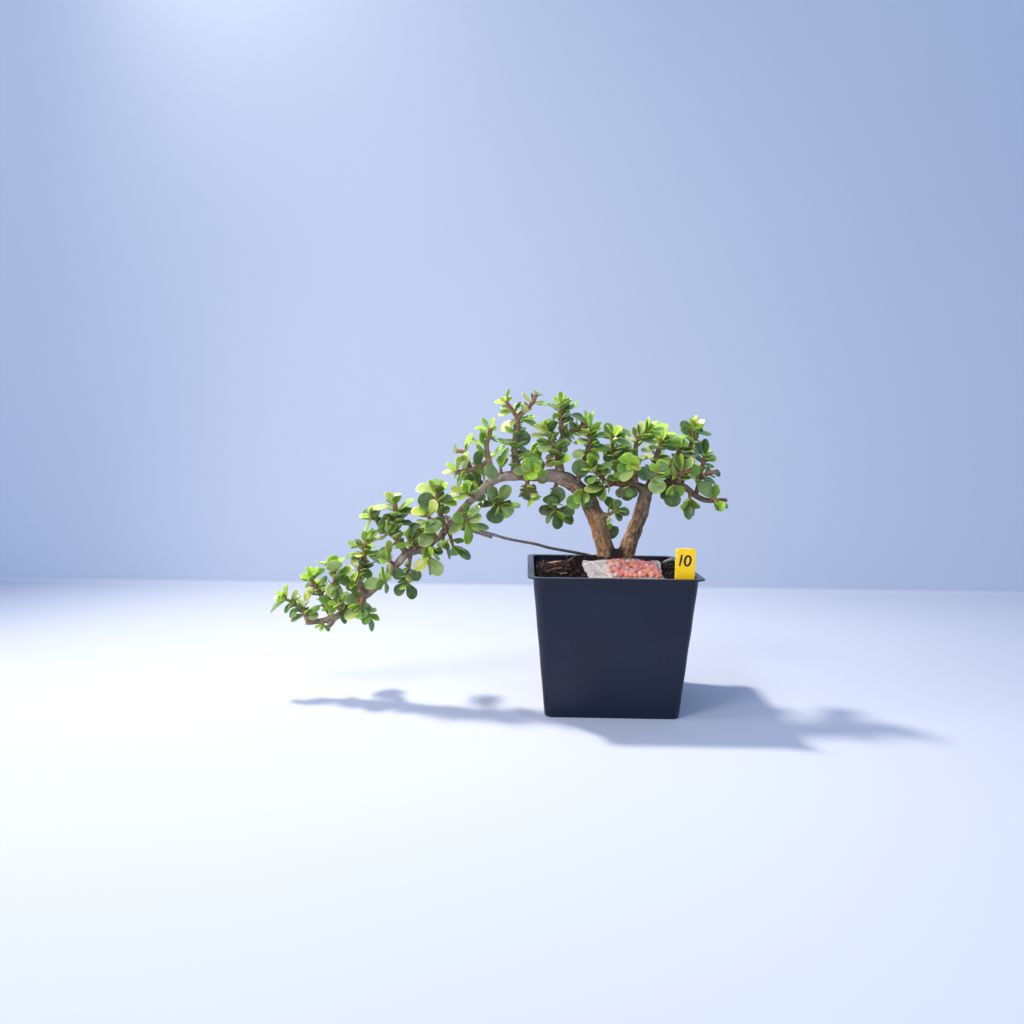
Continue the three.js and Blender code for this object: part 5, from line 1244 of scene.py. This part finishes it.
def build_trunk(material):
    piece = trunk_skin()
    mesh = apply_modifiers(piece)
    at, normal = read_points(mesh, "co") / MM, read_points(mesh, "normal")
    spot, thick, way, run = nearest_on_limbs(at)
    away = at - spot
    along = np.sum(away * way, axis=1)
    run = run + along
    grain = away - way * along[:, None]
    grain[:, 0] += GRAIN_TURN * way[:, 0]
    grain += GRAIN_RUN * run[:, None]
    broad, knobs = noise_at(at, 0.085, 1), noise_at(at, 0.2, 2)
    fine, cracks = noise_at(grain, 0.8, 3), noise_at(grain, 0.42, 4)
    ringing = np.sin(run * SCAR_PACE + 5 * broad + 2.6 * knobs)
    scars = np.clip((ringing - 0.9) / 0.1, 0, 1) * np.clip(noise_at(at, 0.12, 5) * 4, 0, 1)
    push = BROAD_RELIEF * broad + KNOB_RELIEF * knobs + FINE_RELIEF * fine
    push -= FISSURE_DEPTH * np.exp(-(cracks / FISSURE_WIDTH) ** 2) + SCAR_DEPTH * scars
    push *= np.clip(thick / FULL_RELIEF_RADIUS, 0.22, 1.05)
    at = at + normal * push[:, None]
    mesh.vertices.foreach_set("co", (at * MM).ravel())
    set_tones(mesh, bark_colours(at, {
        "x": at[:, 0],
        "z": at[:, 2],
        "off_stump": np.abs(at[:, 0] - STUMP_X),
        # How far each face turns to the left, which is where the painted sunlight goes.
        "left": np.clip(0.5 - 0.5 * normal[:, 0], 0, 1),
        "up": normal[:, 2],
        "broad": broad,
        "knobs": knobs,
        "fine": fine,
        "fissures": np.exp(-(cracks / 0.1) ** 2) * np.clip(thick / 6, 0.25, 1),
        "scars": scars,
        "worn": noise_at(at, 0.07, 6),
    }))
    mesh.materials.append(material)
    mesh.polygons.foreach_set("use_smooth", [True] * len(mesh.polygons))
    mesh.update()
    register(piece, "bark", "trunk")


# Pot: rounded squares joined from ring to ring, with four drain holes
POT_CORNER_STEPS = 9
DRAIN_ROUND = 36
DRAIN_DEPTH = 8
SHARP_ANGLE = math.radians(40)


def rounded_square(half, corner):
    points = []
    for sx, sy, start in ((1, 1, 0), (-1, 1, 90), (-1, -1, 180), (1, -1, 270)):
        centre = (sx * (half - corner), sy * (half - corner))
        points += quarter_circle(*centre, corner, start, POT_CORNER_STEPS)
    return points


def pot_half(z):
    return POT_BASE / 2 + (POT_MOUTH / 2 + POT_WALL - POT_BASE / 2) * z / (POT_HEIGHT - RIM_THICKNESS)


def pot_profile():
    """Half width, height and corner radius, up the outside, over the rim and down the inside."""
    foot, rim, inner, top = POT_BASE / 2, POT_RIM / 2, POT_MOUTH / 2, POT_HEIGHT
    under = top - RIM_THICKNESS
    rows = [(foot - 1.6, 0, 4.5), (foot - 0.5, 0.05, 5.6), (foot, 0.7, 6)]
    for z in np.linspace(6, under - 0.8, 22):
        wave = 0.12 * math.sin(z * 0.21) * math.sin(math.pi * z / top)
        rows.append((pot_half(z) + wave - 0.02, z, 6 + 1.2 * z / top))
    rows += [(pot_half(under) + 0.35, under, 7.2), (rim - 0.6, under, 8), (rim - 0.15, under + 0.2, 8)]
    rows += [(rim, top - 0.65, 8), (rim - 0.12, top - 0.2, 8), (rim - 0.5, top, 8)]
    rows += [(inner + 0.9, top, 7.2), (inner + 0.25, top - 0.25, 6.9)]
    rows += [(pot_half(z) - POT_WALL, z, 5.6) for z in np.linspace(top - 1.2, POT_FLOOR + 1.2, 18)]
    return rows + [(pot_half(POT_FLOOR) - POT_WALL - 1, POT_FLOOR, 5)]


def drill(piece):
    """Four drain holes near the corners."""
    cutters = []
    for sx in (-1, 1):
        for sy in (-1, 1):
            bpy.ops.mesh.primitive_cylinder_add(
                vertices=DRAIN_ROUND, radius=DRAIN_RADIUS * MM, depth=DRAIN_DEPTH * MM,
                location=(sx * DRAIN_OFFSET * MM, sy * DRAIN_OFFSET * MM, 1 * MM))
            cutters.append(bpy.context.object)
            cut = piece.modifiers.new("drain", "BOOLEAN")
            cut.operation = "DIFFERENCE"
            cut.solver = "EXACT"
            cut.object = cutters[-1]
    mesh = apply_modifiers(piece)
    for cutter in cutters:
        bpy.data.objects.remove(cutter, do_unlink=True)
    return mesh


def build_pot(material):
    profile = pot_profile()
    vertices = [(x, y, z) for half, z, corner in profile for x, y in rounded_square(half, corner)]
    faces = close_flat(len(profile), len(vertices) // len(profile))
    piece = make_object("pot_fine", vertices, faces, [material])
    mesh = drill(piece)
    shape = bmesh.new()
    shape.from_mesh(mesh)
    bmesh.ops.recalc_face_normals(shape, faces=shape.faces)
    for edge in shape.edges:
        if len(edge.link_faces) == 2 and edge.calc_face_angle(0) > SHARP_ANGLE:
            edge.smooth = False
    for face in shape.faces:
        face.smooth = True
    shape.to_mesh(mesh)
    shape.free()
    register(piece, "pot_plastic", "pot")


# Soil: a bumpy mound, with its sides and its bottom hidden in the pot
SOIL_GRID = 150
SOIL_GAP = 0.97
SOIL_HALF = POT_MOUTH / 2 - SOIL_GAP
SOIL_CORNER = 5
SOIL_SUNK = 0.4
LUMP_RELIEF = 0.75
CRUMB_RELIEF = 0.8
GRIT_RELIEF = 0.5
EDGE_DROP = 1.2
SOIL_TONE = (0.020, 0.011, 0.008)
SOIL_DARKEST = 0.008
SOIL_SIDE_TONE = 0.03
SOIL_SIDE_GAP = 1.4
SOIL_SIDES = [70, 3.2]
CRUMB_REACH = SOIL_HALF - 2.4
CRUMB_HIGHEST = 1.3
CRUMB_WIDTH = (0.75, 1.35)
CRUMB_HEIGHT = (0.5, 0.9)
CRUMB_WOBBLE = (0.78, 1.22)
CRUMB_SHADE = (0.7, 1.3)
CRUMB_TONES = [(0.010, 0.005, 0.006), (0.017, 0.008, 0.008), (0.033, 0.013, 0.011),
               (0.008, 0.004, 0.006), (0.085, 0.045, 0.026), (0.022, 0.014, 0.011)]
FIBRE_REACH = 54
FIBRE_LIMIT = 56
FIBRE_STEPS = 4
FIBRE_CURL = (-0.8, 0.8)
FIBRE_RADIUS = (0.16, 0.28)
FIBRE_SHADE = (0.7, 1.2)
FIBRE_PALE_FROM = 0.82
FIBRE_PALE = (0.24, 0.15, 0.08)
FIBRE_DARK = (0.060, 0.030, 0.018)

# Fibres and twigs seen on the soil: points x, y and height over the soil, radius, tone
SOIL_BITS = [
    ([(-47.5, 22, 1.1), (-44.5, 15, 1.7), (-41, 12, 1.9), (-37.5, 14, 1.4)], 0.5, (0.80, 0.52, 0.42)),
    ([(-44, 8, 1.0), (-41.5, 11, 1.7), (-40, 16, 1.1)], 0.34, (0.62, 0.40, 0.32)),
    ([(-32, 8, 0.9), (-28.5, 10.5, 2.4), (-24.5, 13, 4.0)], 0.42, (0.50, 0.36, 0.24)),
    ([(-31, 18, 0.7), (-32.6, 18, 3.0), (-31.4, 18, 6.0)], 0.2, (0.34, 0.24, 0.15)),
    ([(-39.5, -27, 1.0), (-37, -28.5, 1.4), (-34.5, -27, 1.1)], 0.5, (0.48, 0.32, 0.16)),
    ([(-54, 2, 0.8), (-52, 6, 3.2), (-52.5, 8, 5.6)], 0.2, (0.26, 0.18, 0.12)),
    ([(46, 6, 1.4), (49.5, 9, 3.6), (53, 10, 5.0)], 1.15, (0.52, 0.42, 0.30)),
    ([(44, -30, 0.9), (47, -22, 1.2), (50, -18, 0.8)], 0.3, (0.2, 0.14, 0.09)),
    ([(-50, -20, 0.8), (-44, -14, 1.3), (-38, -14, 0.9)], 0.35, (0.28, 0.2, 0.12)),
    ([(30, 30, 0.8), (38, 36, 1.2), (41, 44, 0.9)], 0.4, (0.24, 0.17, 0.11)),
]


def soil_height(x, y):
    spread = np.where(np.asarray(y) < 0, MOUND_FRONT, MOUND_BACK)
    return SOIL_EDGE + MOUND_HEIGHT * np.exp(-(((x - MOUND_X) / MOUND_SPREAD) ** 2 + (y / spread) ** 2))


def over_soil(x, y, lift):
    return np.array([x, y, soil_height(x, y) + lift])


def add_mound(heap):
    grid = np.linspace(-1, 1, SOIL_GRID) * SOIL_HALF
    x, y = [side.ravel() for side in np.meshgrid(grid, grid)]
    square = SOIL_HALF - SOIL_CORNER
    over = np.hypot(np.maximum(np.abs(x) - square, 0), np.maximum(np.abs(y) - square, 0))
    pull = SOIL_CORNER / np.maximum(over, SOIL_CORNER)
    x, y = [np.copysign(square, q) * (1 - pull) + q * pull for q in (x, y)]
    flat = np.column_stack([x, y, 0 * x])
    lumps, crumbs, grit = noise_at(flat, 0.13, 11), noise_at(flat, 0.42, 12), noise_at(flat, 1.1, 13)
    edge = np.maximum(np.abs(x), np.abs(y)) / SOIL_HALF
    z = soil_height(x, y) - SOIL_SUNK - EDGE_DROP * smooth_step(0.96, 1.0, edge)
    z += LUMP_RELIEF * lumps + CRUMB_RELIEF * crumbs + GRIT_RELIEF * grit
    top = np.column_stack([x, y, z])
    tints = np.maximum(np.outer(1 + 0.35 * crumbs + 0.3 * grit, SOIL_TONE), SOIL_DARKEST)
    rim = grid_rim(SOIL_GRID, SOIL_GRID)
    vertices, faces, upper = [top], grid_quads(SOIL_GRID, SOIL_GRID), rim
    for i, height in enumerate(SOIL_SIDES):
        half = POT_BASE / 2 - POT_WALL - SOIL_SIDE_GAP + (POT_MOUTH - POT_BASE) / 2 * height / POT_HEIGHT
        vertices.append(np.column_stack([top[rim, :2] * half / SOIL_HALF, np.full(len(rim), height)]))
        lower = [len(top) + i * len(rim) + j for j in range(len(rim))]
        faces += belt(upper, lower)
        upper = lower
    faces.append(lower[::-1])
    sides = np.full((len(SOIL_SIDES) * len(rim), 3), SOIL_SIDE_TONE)
    heap.add(np.vstack(vertices), faces, np.vstack([tints, sides]))


def add_crumbs(heap, draw):
    ball, faces = icosphere(1)
    for _ in range(2600):
        x, y = [between(draw, -CRUMB_REACH, CRUMB_REACH) for _ in range(2)]
        size = 0.45 + 1.5 * next(draw) ** 3
        middle = over_soil(x, y, 0.1 + 0.35 * size * (next(draw) - 0.3))
        stretch = [between(draw, *span) for span in (CRUMB_WIDTH, CRUMB_WIDTH, CRUMB_HEIGHT)]
        spin = next(draw) * math.pi
        c, s = math.cos(spin), math.sin(spin)
        wobble = np.array([[between(draw, *CRUMB_WOBBLE)] for _ in ball])
        crumb = (ball * wobble * stretch * size) @ np.array([[c, s, 0], [-s, c, 0], [0, 0, 1]]) + middle
        highest = soil_height(crumb[:, 0], crumb[:, 1]) + CRUMB_HIGHEST
        crumb[:, 2] = np.minimum(crumb[:, 2], highest)
        tone = np.array(CRUMB_TONES[int(next(draw) ** 1.3 * len(CRUMB_TONES))])
        heap.add(crumb, faces, tone * between(draw, *CRUMB_SHADE))


def add_thread(heap, points, steps, sides, tone):
    vertices, faces, _ = tube(smooth_path(points, steps), sides)
    heap.add(vertices, faces, tone)


def add_fibres(heap, draw):
    for _ in range(230):
        x, y = [between(draw, -FIBRE_REACH, FIBRE_REACH) for _ in range(2)]
        reach = 2.5 + 9 * next(draw) ** 2
        heading = next(draw) * 2 * math.pi
        curl = between(draw, *FIBRE_CURL)
        points = []
        for step in range(FIBRE_STEPS + 1):
            t = step / FIBRE_STEPS
            way = np.array([math.cos(heading + curl * t), math.sin(heading + curl * t)])
            spot = np.clip((x, y) + reach * t * way, -FIBRE_LIMIT, FIBRE_LIMIT)
            lift = 0.55 + 0.5 * math.sin(math.pi * t) * next(draw)
            points.append((over_soil(*spot, lift), between(draw, *FIBRE_RADIUS)))
        tone = np.array(FIBRE_PALE if next(draw) > FIBRE_PALE_FROM else FIBRE_DARK)
        add_thread(heap, points, 2, 4, tone * between(draw, *FIBRE_SHADE))


def build_soil(material):
    heap = Heap()
    draw = seeded_random(77)
    add_mound(heap)
    add_crumbs(heap, draw)
    add_fibres(heap, draw)
    for points, radius, tone in SOIL_BITS:
        add_thread(heap, [(over_soil(*point), radius) for point in points], 4, 8, tone)
    register(heap.make("soil_fine", [material]), "soil", "soil")


# Label: a plate leaning along the front wall, with a handwritten number
LABEL_CORNER = 2
LABEL_CORNER_STEPS = 8
LABEL_TIP = 0.3
LABEL_SOFT = 0.18
STROKE_STEPS = 6
INK_SUNK = 0.02
INK_RISE = 0.07

# Strokes of the number: millimetres from the label's upper left corner, and width
DIGITS = [
    [(4.5, 4.4, 1.3), (4.1, 7.2, 1.5), (3.6, 10.0, 1.45), (3.1, 13.0, 1.1)],
    [(9.6, 5.5, 1.3), (8.2, 5.6, 1.5), (7.1, 7.4, 1.55), (6.7, 9.6, 1.55), (7.2, 11.8, 1.5), (8.5, 12.6, 1.4),
     (9.9, 11.8, 1.5), (10.8, 9.7, 1.55), (10.9, 7.5, 1.55), (10.2, 5.9, 1.4), (9.3, 5.2, 1.1)],
]


def label_outline():
    top, half, foot = LABEL_ABOVE_RIM, LABEL_WIDTH / 2, LABEL_ABOVE_RIM - LABEL_LENGTH
    points = quarter_circle(half - LABEL_CORNER, top - LABEL_CORNER, LABEL_CORNER, 0, LABEL_CORNER_STEPS)
    points += quarter_circle(LABEL_CORNER - half, top - LABEL_CORNER, LABEL_CORNER, 90, LABEL_CORNER_STEPS)
    points += [(-half, foot + LABEL_TAPER), (LABEL_FOOT_X - LABEL_TIP, foot)]
    return points + [(LABEL_FOOT_X + LABEL_TIP, foot), (half, foot + LABEL_TAPER)]


def inset(points, by):
    """An outline drawn in by a distance."""
    moved = []
    for i, (x, y) in enumerate(points):
        along = unit(np.subtract(points[(i + 1) % len(points)], points[i - 1]))
        moved.append((x - along[1] * by, y + along[0] * by))
    return moved


def stand_in_pot(vertices):
    """The label's vertices, moved from its own flat frame to its place in the pot."""
    lean = math.pi / 2 + math.atan((POT_MOUTH - POT_BASE) / 2 / POT_HEIGHT)
    front = -POT_MOUTH / 2 + 0.5 + LABEL_TO_WALL
    turn = Matrix.Translation(Vector((LABEL_X, front, POT_HEIGHT))) @ Matrix.Rotation(lean, 4, "X")
    return np.array([(turn @ Vector(v))[:] for v in vertices])


def add_stroke(heap, points, z):
    """An inked stroke as a thin raised plate on the label's face."""
    path = smooth_path([(np.array([x, y, 0.0]), width) for x, y, width in points], STROKE_STEPS)
    left, right = [], []
    for i, (spot, width, _) in enumerate(path):
        along = unit(path_step(path, i))
        side = np.array([-along[1], along[0], 0]) * width / 2
        left.append(spot + side)
        right.append(spot - side)
    low = np.array(left + right[::-1]) + (0, 0, z)
    n = len(low)
    top = [[2 * n - 1 - i, 2 * n - 2 - i, n + i + 1, n + i] for i in range(len(left) - 1)]
    heap.add(stand_in_pot(np.vstack([low, low + (0, 0, INK_RISE)])), top + ring_quads(2, n))


def build_label(plate_material, ink):
    outline = label_outline()
    half, soft = LABEL_THICKNESS / 2, LABEL_SOFT
    levels = ((soft, -half), (0, soft - half), (0, half - soft), (soft, half))
    vertices = [(x, y, z) for by, z in levels for x, y in inset(outline, by)]
    faces = close_flat(len(levels), len(outline))
    plate = make_object("label_plate", stand_in_pot(vertices), faces, [plate_material], smooth=False)
    register(plate, "label_plastic", "number_label")
    heap = Heap()
    for stroke in DIGITS:
        points = [(x - LABEL_WIDTH / 2, LABEL_ABOVE_RIM - y, width) for x, y, width in stroke]
        add_stroke(heap, points, half - INK_SUNK)
    register(heap.make("label_number", [ink], smooth=False), "label_plastic")


# Sachet: a thin wrinkled film pillow with granules in its right part
FILM_ACROSS = 150
FILM_DEEP = 100
FILM_SKEW = 3
FILM_FLAP = 3.2
FILM_LEFT_FLAP = 1.6
FILM_CRIMP = 0.22
FILM_SUNK = 0.55
FILM_GAP = 0.1
FILM_WIDTH = 59
FILM_DEPTH = 40
GRAIN_TRIES = 16000
GRAINS = 340
GRAIN_LEAST = 1.5
GRAIN_RADIUS = (2.0, 2.8)
GRAIN_U = (0.31, 0.945)
GRAIN_V = (0.08, 0.79)
GRAIN_WIDTH = (0.85, 1.15)
GRAIN_HEIGHT = (0.8, 1.0)
GRAIN_SHADE = (0.8, 1.15)
GRAIN_CLOSE = 0.8
GRAIN_LUMPS = 0.28
GRAIN_TONES = [(0.95, 0.240, 0.200), (0.98, 0.330, 0.190), (0.97, 0.300, 0.120), (0.98, 0.54, 0.44),
               (0.88, 0.160, 0.170), (0.98, 0.43, 0.27), (0.93, 0.220, 0.230)]


def sachet_place(u, v):
    """A place in the sachet's rectangle, u from left to right and v from front to back."""
    return (SACHET_LEFT + (SACHET_RIGHT - SACHET_LEFT) * u, SACHET_FRONT + (SACHET_BACK - SACHET_FRONT) * v)


def sachet_thickness(u, v):
    across = np.sin(np.pi * np.clip(v, 0, 1)) ** 0.6 * (1 - 0.5 * smooth_step(0.45, 0.95, v))
    filled = np.clip((u - 0.25) / 0.15, 0, 1)
    end = np.clip((1 - u) / 0.09, 0, 1) ** 0.6
    return SACHET_SEAM + (SACHET_THICKNESS - SACHET_SEAM) * across * (0.08 + 0.92 * filled * end)


def film_haze_and_painted_shine(u, v, folds):
    """How opaque and white the film looks: a painted sky reflection at its left end, painted highlights along
    its folds and creases, and its seams.
    """
    # The crease lines are painted highlights.
    crease = smooth_step(0.03, 0.0, np.abs(u - 0.30 + 0.20 * v))
    arch = smooth_step(0.03, 0.0, np.abs(v - 0.86 + 0.5 * (u - 0.16) ** 2))
    crease = crease + arch * smooth_step(0.3, 0.2, u)
    # Whiter at the left end as a painted reflection of the sky, and along fold ridges and creases as painted
    # highlights.
    haze_and_shine = 0.06 + 0.50 * smooth_step(0.35, 0.26, u) + 0.40 * np.clip(folds - 0.55, 0, 1) + 0.55 * crease
    haze_and_shine = haze_and_shine + 0.4 * smooth_step(0.84, 0.93, v) * smooth_step(0.3, 0.6, u)
    haze_and_shine = np.maximum(haze_and_shine, 0.8 * smooth_step(2.2, 0.4, np.minimum(v, 1 - v) * FILM_DEPTH))
    return np.maximum(haze_and_shine, 0.7 * smooth_step(3.0, 0.6, (1 - u) * FILM_WIDTH))


def build_film(material):
    u, v = [g.ravel() for g in np.meshgrid(np.linspace(0, 1, FILM_ACROSS), np.linspace(0, 1, FILM_DEEP))]
    x, y = sachet_place(u, v)
    x += (0.45 * np.sin(v * 9 + 1) + 0.3 * np.sin(v * 23) - 0.7) * (2 * u - 1) ** 3
    x += (1 - u) * (2.4 - 3.6 * v) + 2.2 * u * v
    y += (0.5 * np.sin(u * 11) + 0.3 * np.sin(u * 27 + 2) - 0.7) * (2 * v - 1) ** 3 - FILM_SKEW * v ** 2
    flat = np.column_stack([x * 0.7, y, 0 * x])
    bend = noise_at(flat, 0.09, 21)
    folds = 1 - np.abs(noise_at(flat + 3 * np.column_stack([bend, bend, 0 * x]), 0.16, 22)) * 2.2
    small = 1 - np.abs(noise_at(flat[:, [1, 0, 2]], 0.34, 23)) * 2.2
    to_seam = np.minimum(np.minimum(u, 1 - u) * FILM_WIDTH, np.minimum(v, 1 - v) * FILM_DEPTH)
    inside = np.clip(to_seam / 4, 0, 1)
    raised = inside * (0.55 * np.clip(folds, -0.6, 1) + 0.25 * np.clip(small, -0.6, 1)) - FILM_SUNK
    flap = FILM_FLAP * smooth_step(0.82, 1, u) * smooth_step(0.7, 1, v)
    flap = flap + FILM_LEFT_FLAP * smooth_step(0.16, 0, u) * smooth_step(0.8, 1, v)
    rest = soil_height(x, y) + SACHET_LIFT + flap
    crimp = FILM_CRIMP * np.sin(y * 3.4) * ((u < 0.05) | (u > 0.95))
    top = rest + (sachet_thickness(u, v) + raised) * (0.45 + 0.55 * inside) + crimp
    count = len(u)
    rim = grid_rim(FILM_ACROSS, FILM_DEEP)
    quads = grid_quads(FILM_ACROSS, FILM_DEEP)
    under = [[count + q for q in quad[:1] + quad[:0:-1]] for quad in quads]
    faces = quads + under + belt(rim, [count + q for q in rim])
    vertices = np.vstack([np.column_stack([x, y, top]), np.column_stack([x, y, rest + FILM_GAP])])
    haze_and_shine = np.tile(film_haze_and_painted_shine(u, v, folds), 2)
    piece = make_object("sachet_film_fine", vertices, faces, [material], colours=np.column_stack([haze_and_shine] * 3))
    register(piece, "film", "sachet_film")


def settle_grains(draw):
    """Places and radii of the granules, lying close in the sachet."""
    kept = []
    for _ in range(GRAIN_TRIES):
        v, u, share = between(draw, *GRAIN_V), between(draw, *GRAIN_U), next(draw)
        thick = float(sachet_thickness(u, v))
        radius = min(between(draw, *GRAIN_RADIUS), (thick - 1.5) / 2)
        if radius < GRAIN_LEAST:
            continue
        x, y = sachet_place(u, v)
        low = 1.0 + radius
        high = max(low, thick - 1.1 - radius)
        at = over_soil(x, y, SACHET_LIFT + low + (high - low) * (1 if share > 0.45 else share))
        if all(np.linalg.norm(at - other) > GRAIN_CLOSE * (radius + size) for other, size in kept):
            kept.append((at, radius))
        if len(kept) >= GRAINS:
            break
    return kept


def build_granules(material):
    draw = seeded_random(41)
    ball, faces = icosphere(2)
    heap = Heap()
    for i, (at, radius) in enumerate(settle_grains(draw)):
        lumps = 1 + GRAIN_LUMPS * noise_at(ball + i * 3.7, 1.1, 31)
        stretch = [between(draw, *span) for span in (GRAIN_WIDTH, GRAIN_WIDTH, GRAIN_HEIGHT)]
        tone = np.array(GRAIN_TONES[int(next(draw) * len(GRAIN_TONES))])
        heap.add(ball * stretch * radius * lumps[:, None] + at, faces, tone * between(draw, *GRAIN_SHADE))
    register(heap.make("granules_fine", [material]), "granules", "sachet_granules")


# Guy wire: one bent wire, with its end wound back over itself
WIRE_SIDES = 14
WIRE_STEPS = 10
WIRE_FATTER = 1.35
WIRE_KINK = 0.06
WIRE_FOOT = [[-3, 109, 12], [-8, 113.4, 11], [-14, 116, 10], [-20, 117.6, 9], [-28, 119, 8.5]]
WIRE_TONE = (0.150, 0.120, 0.100)
WIRE_PALE_TONE = (0.42, 0.36, 0.30)


def build_wire(material):
    rows = WIRE_FOOT + WIRE_POINTS[4:]
    path = smooth_path([(place(x, z, y), WIRE_RADIUS * WIRE_FATTER) for x, z, y in rows], WIRE_STEPS)
    kinked = []
    for i, (spot, radius, share) in enumerate(path):
        kink = np.array([math.sin(i * 0.31), math.sin(i * 0.23 + 1), math.sin(i * 0.27 + 2)])
        kinked.append((spot + kink * WIRE_KINK, radius, share))
    vertices, faces, _ = tube(kinked, WIRE_SIDES)
    pale = smooth_step(-55, -110, vertices[:, 0])
    rust = 0.75 + 0.5 * (0.5 + 0.5 * noise_at(vertices, 0.25, 51))
    colours = (np.outer(1 - pale, WIRE_TONE) + np.outer(pale, WIRE_PALE_TONE)) * rust[:, None]
    piece = make_object("guy_wire_fine", vertices, faces, [material], colours=colours)
    register(piece, "wire", "guy_wire")


# Stage: a pale floor that turns up into a wall
WALL_Y = 495
SWEEP_RADIUS = 7
SWEEP_STEPS = 12
STAGE_HALF = 9000
STAGE_FRONT = -7000
STAGE_TOP = 1500


def build_stage(material):
    sweep = quarter_circle(WALL_Y - SWEEP_RADIUS, SWEEP_RADIUS, SWEEP_RADIUS, -90, SWEEP_STEPS)
    profile = [(STAGE_FRONT, 0.0), *sweep, (WALL_Y, STAGE_TOP)]
    vertices = [(side * STAGE_HALF, y, z) for y, z in profile for side in (-1, 1)]
    faces = [[2 * i, 2 * i + 1, 2 * i + 3, 2 * i + 2] for i in range(len(profile) - 1)]
    floor = make_object("stage", vertices, faces, [material])


# Area lights: place, what they look at, size, power, colour and spread in degrees. The key light
# stands to the left and a little behind, as the shadows in the photograph tell.
LIGHTS = {
    "key": ((-721, 409.5, 1392), (-40, 0, 120), 150, 5.1, (1.0, 0.89, 0.72), 75),
    "side": ((-1000, -190, 330), (0, -20, 110), 320, 1.4, (1.0, 0.82, 0.68), 100),
    "fill": ((-800, -900, 1300), (0, 0, 120), 450, 8, (1.0, 0.96, 0.90), 180),
}
SKY_COLOUR = (0.62, 0.78, 1.06, 1)
SKY_STRENGTH = 0.78


def light_scene():
    world = bpy.data.worlds.new("studio")
    world.use_nodes = True
    sky = world.node_tree.nodes["Background"]
    sky.inputs["Color"].default_value = SKY_COLOUR
    sky.inputs["Strength"].default_value = SKY_STRENGTH
    bpy.context.scene.world = world
    bpy.context.scene.view_settings.view_transform = "Standard"
    for name, (at, target, size, power, colour, spread) in LIGHTS.items():
        data = bpy.data.lights.new(name, "AREA")
        data.shape = "DISK"
        data.size = size * MM
        data.energy = power
        data.color = colour
        data.spread = math.radians(spread)
        lamp = bpy.data.objects.new(name, data)
        lamp.location = Vector(at) * MM
        lamp.visible_camera = False
        lamp.rotation_euler = (Vector(target) - Vector(at)).to_track_quat("-Z", "Y").to_euler()
        bpy.context.scene.collection.objects.link(lamp)


young_bark = mottled_material(
    "young_bark", {"scale": 700, "detail": 4, "distortion": 0.6}, ((0.3, 0.6), (0.7, 1.3)),
    (0.55, 0.8), (0.0006, 0.7), Specular_IOR_Level=0.3)
cut_wood = mottled_material(
    "cut_wood", {"scale": 900, "detail": 4, "distortion": 1.5}, ((0.35, 0.6), (0.65, 1.15)),
    (0.7, 0.9), (0.0004, 0.6), Specular_IOR_Level=0.2)
soil = mottled_material(
    "soil", {"scale": 330, "detail": 5, "distortion": 0.5, "roughness": 0.65},
    ((0.32, 0.34), (0.5, 0.78), (0.7, 1.4)), (0.78, 1.0), (0.0012, 1.0), Specular_IOR_Level=0.25)
granules = mottled_material(
    "granules", {"scale": 1100, "detail": 4}, ((0.35, 0.85), (0.68, 1.2)), (0.65, 0.85), (0.0004, 0.8),
    Specular_IOR_Level=0.3, Subsurface_Weight=0.3, Subsurface_Scale=0.002)
wire = mottled_material(
    "wire", {"scale": 420, "detail": 5, "distortion": 0.5}, ((0.35, 0.6), (0.7, 1.35)),
    (0.42, 0.68), (0.0003, 0.5), Metallic=0.35, Specular_IOR_Level=0.4)

spray_materials = [leaf_material(), young_bark, cut_wood]
for spray in grow_all():
    build_spray(spray, spray_materials)
build_trunk(bark_material())
build_pot(pot_material())
build_soil(soil)
build_label(label_material_with_painted_glow(), ink_material())
build_film(film_material())
build_granules(granules)
build_wire(wire)
build_stage(stage_material())
light_scene()
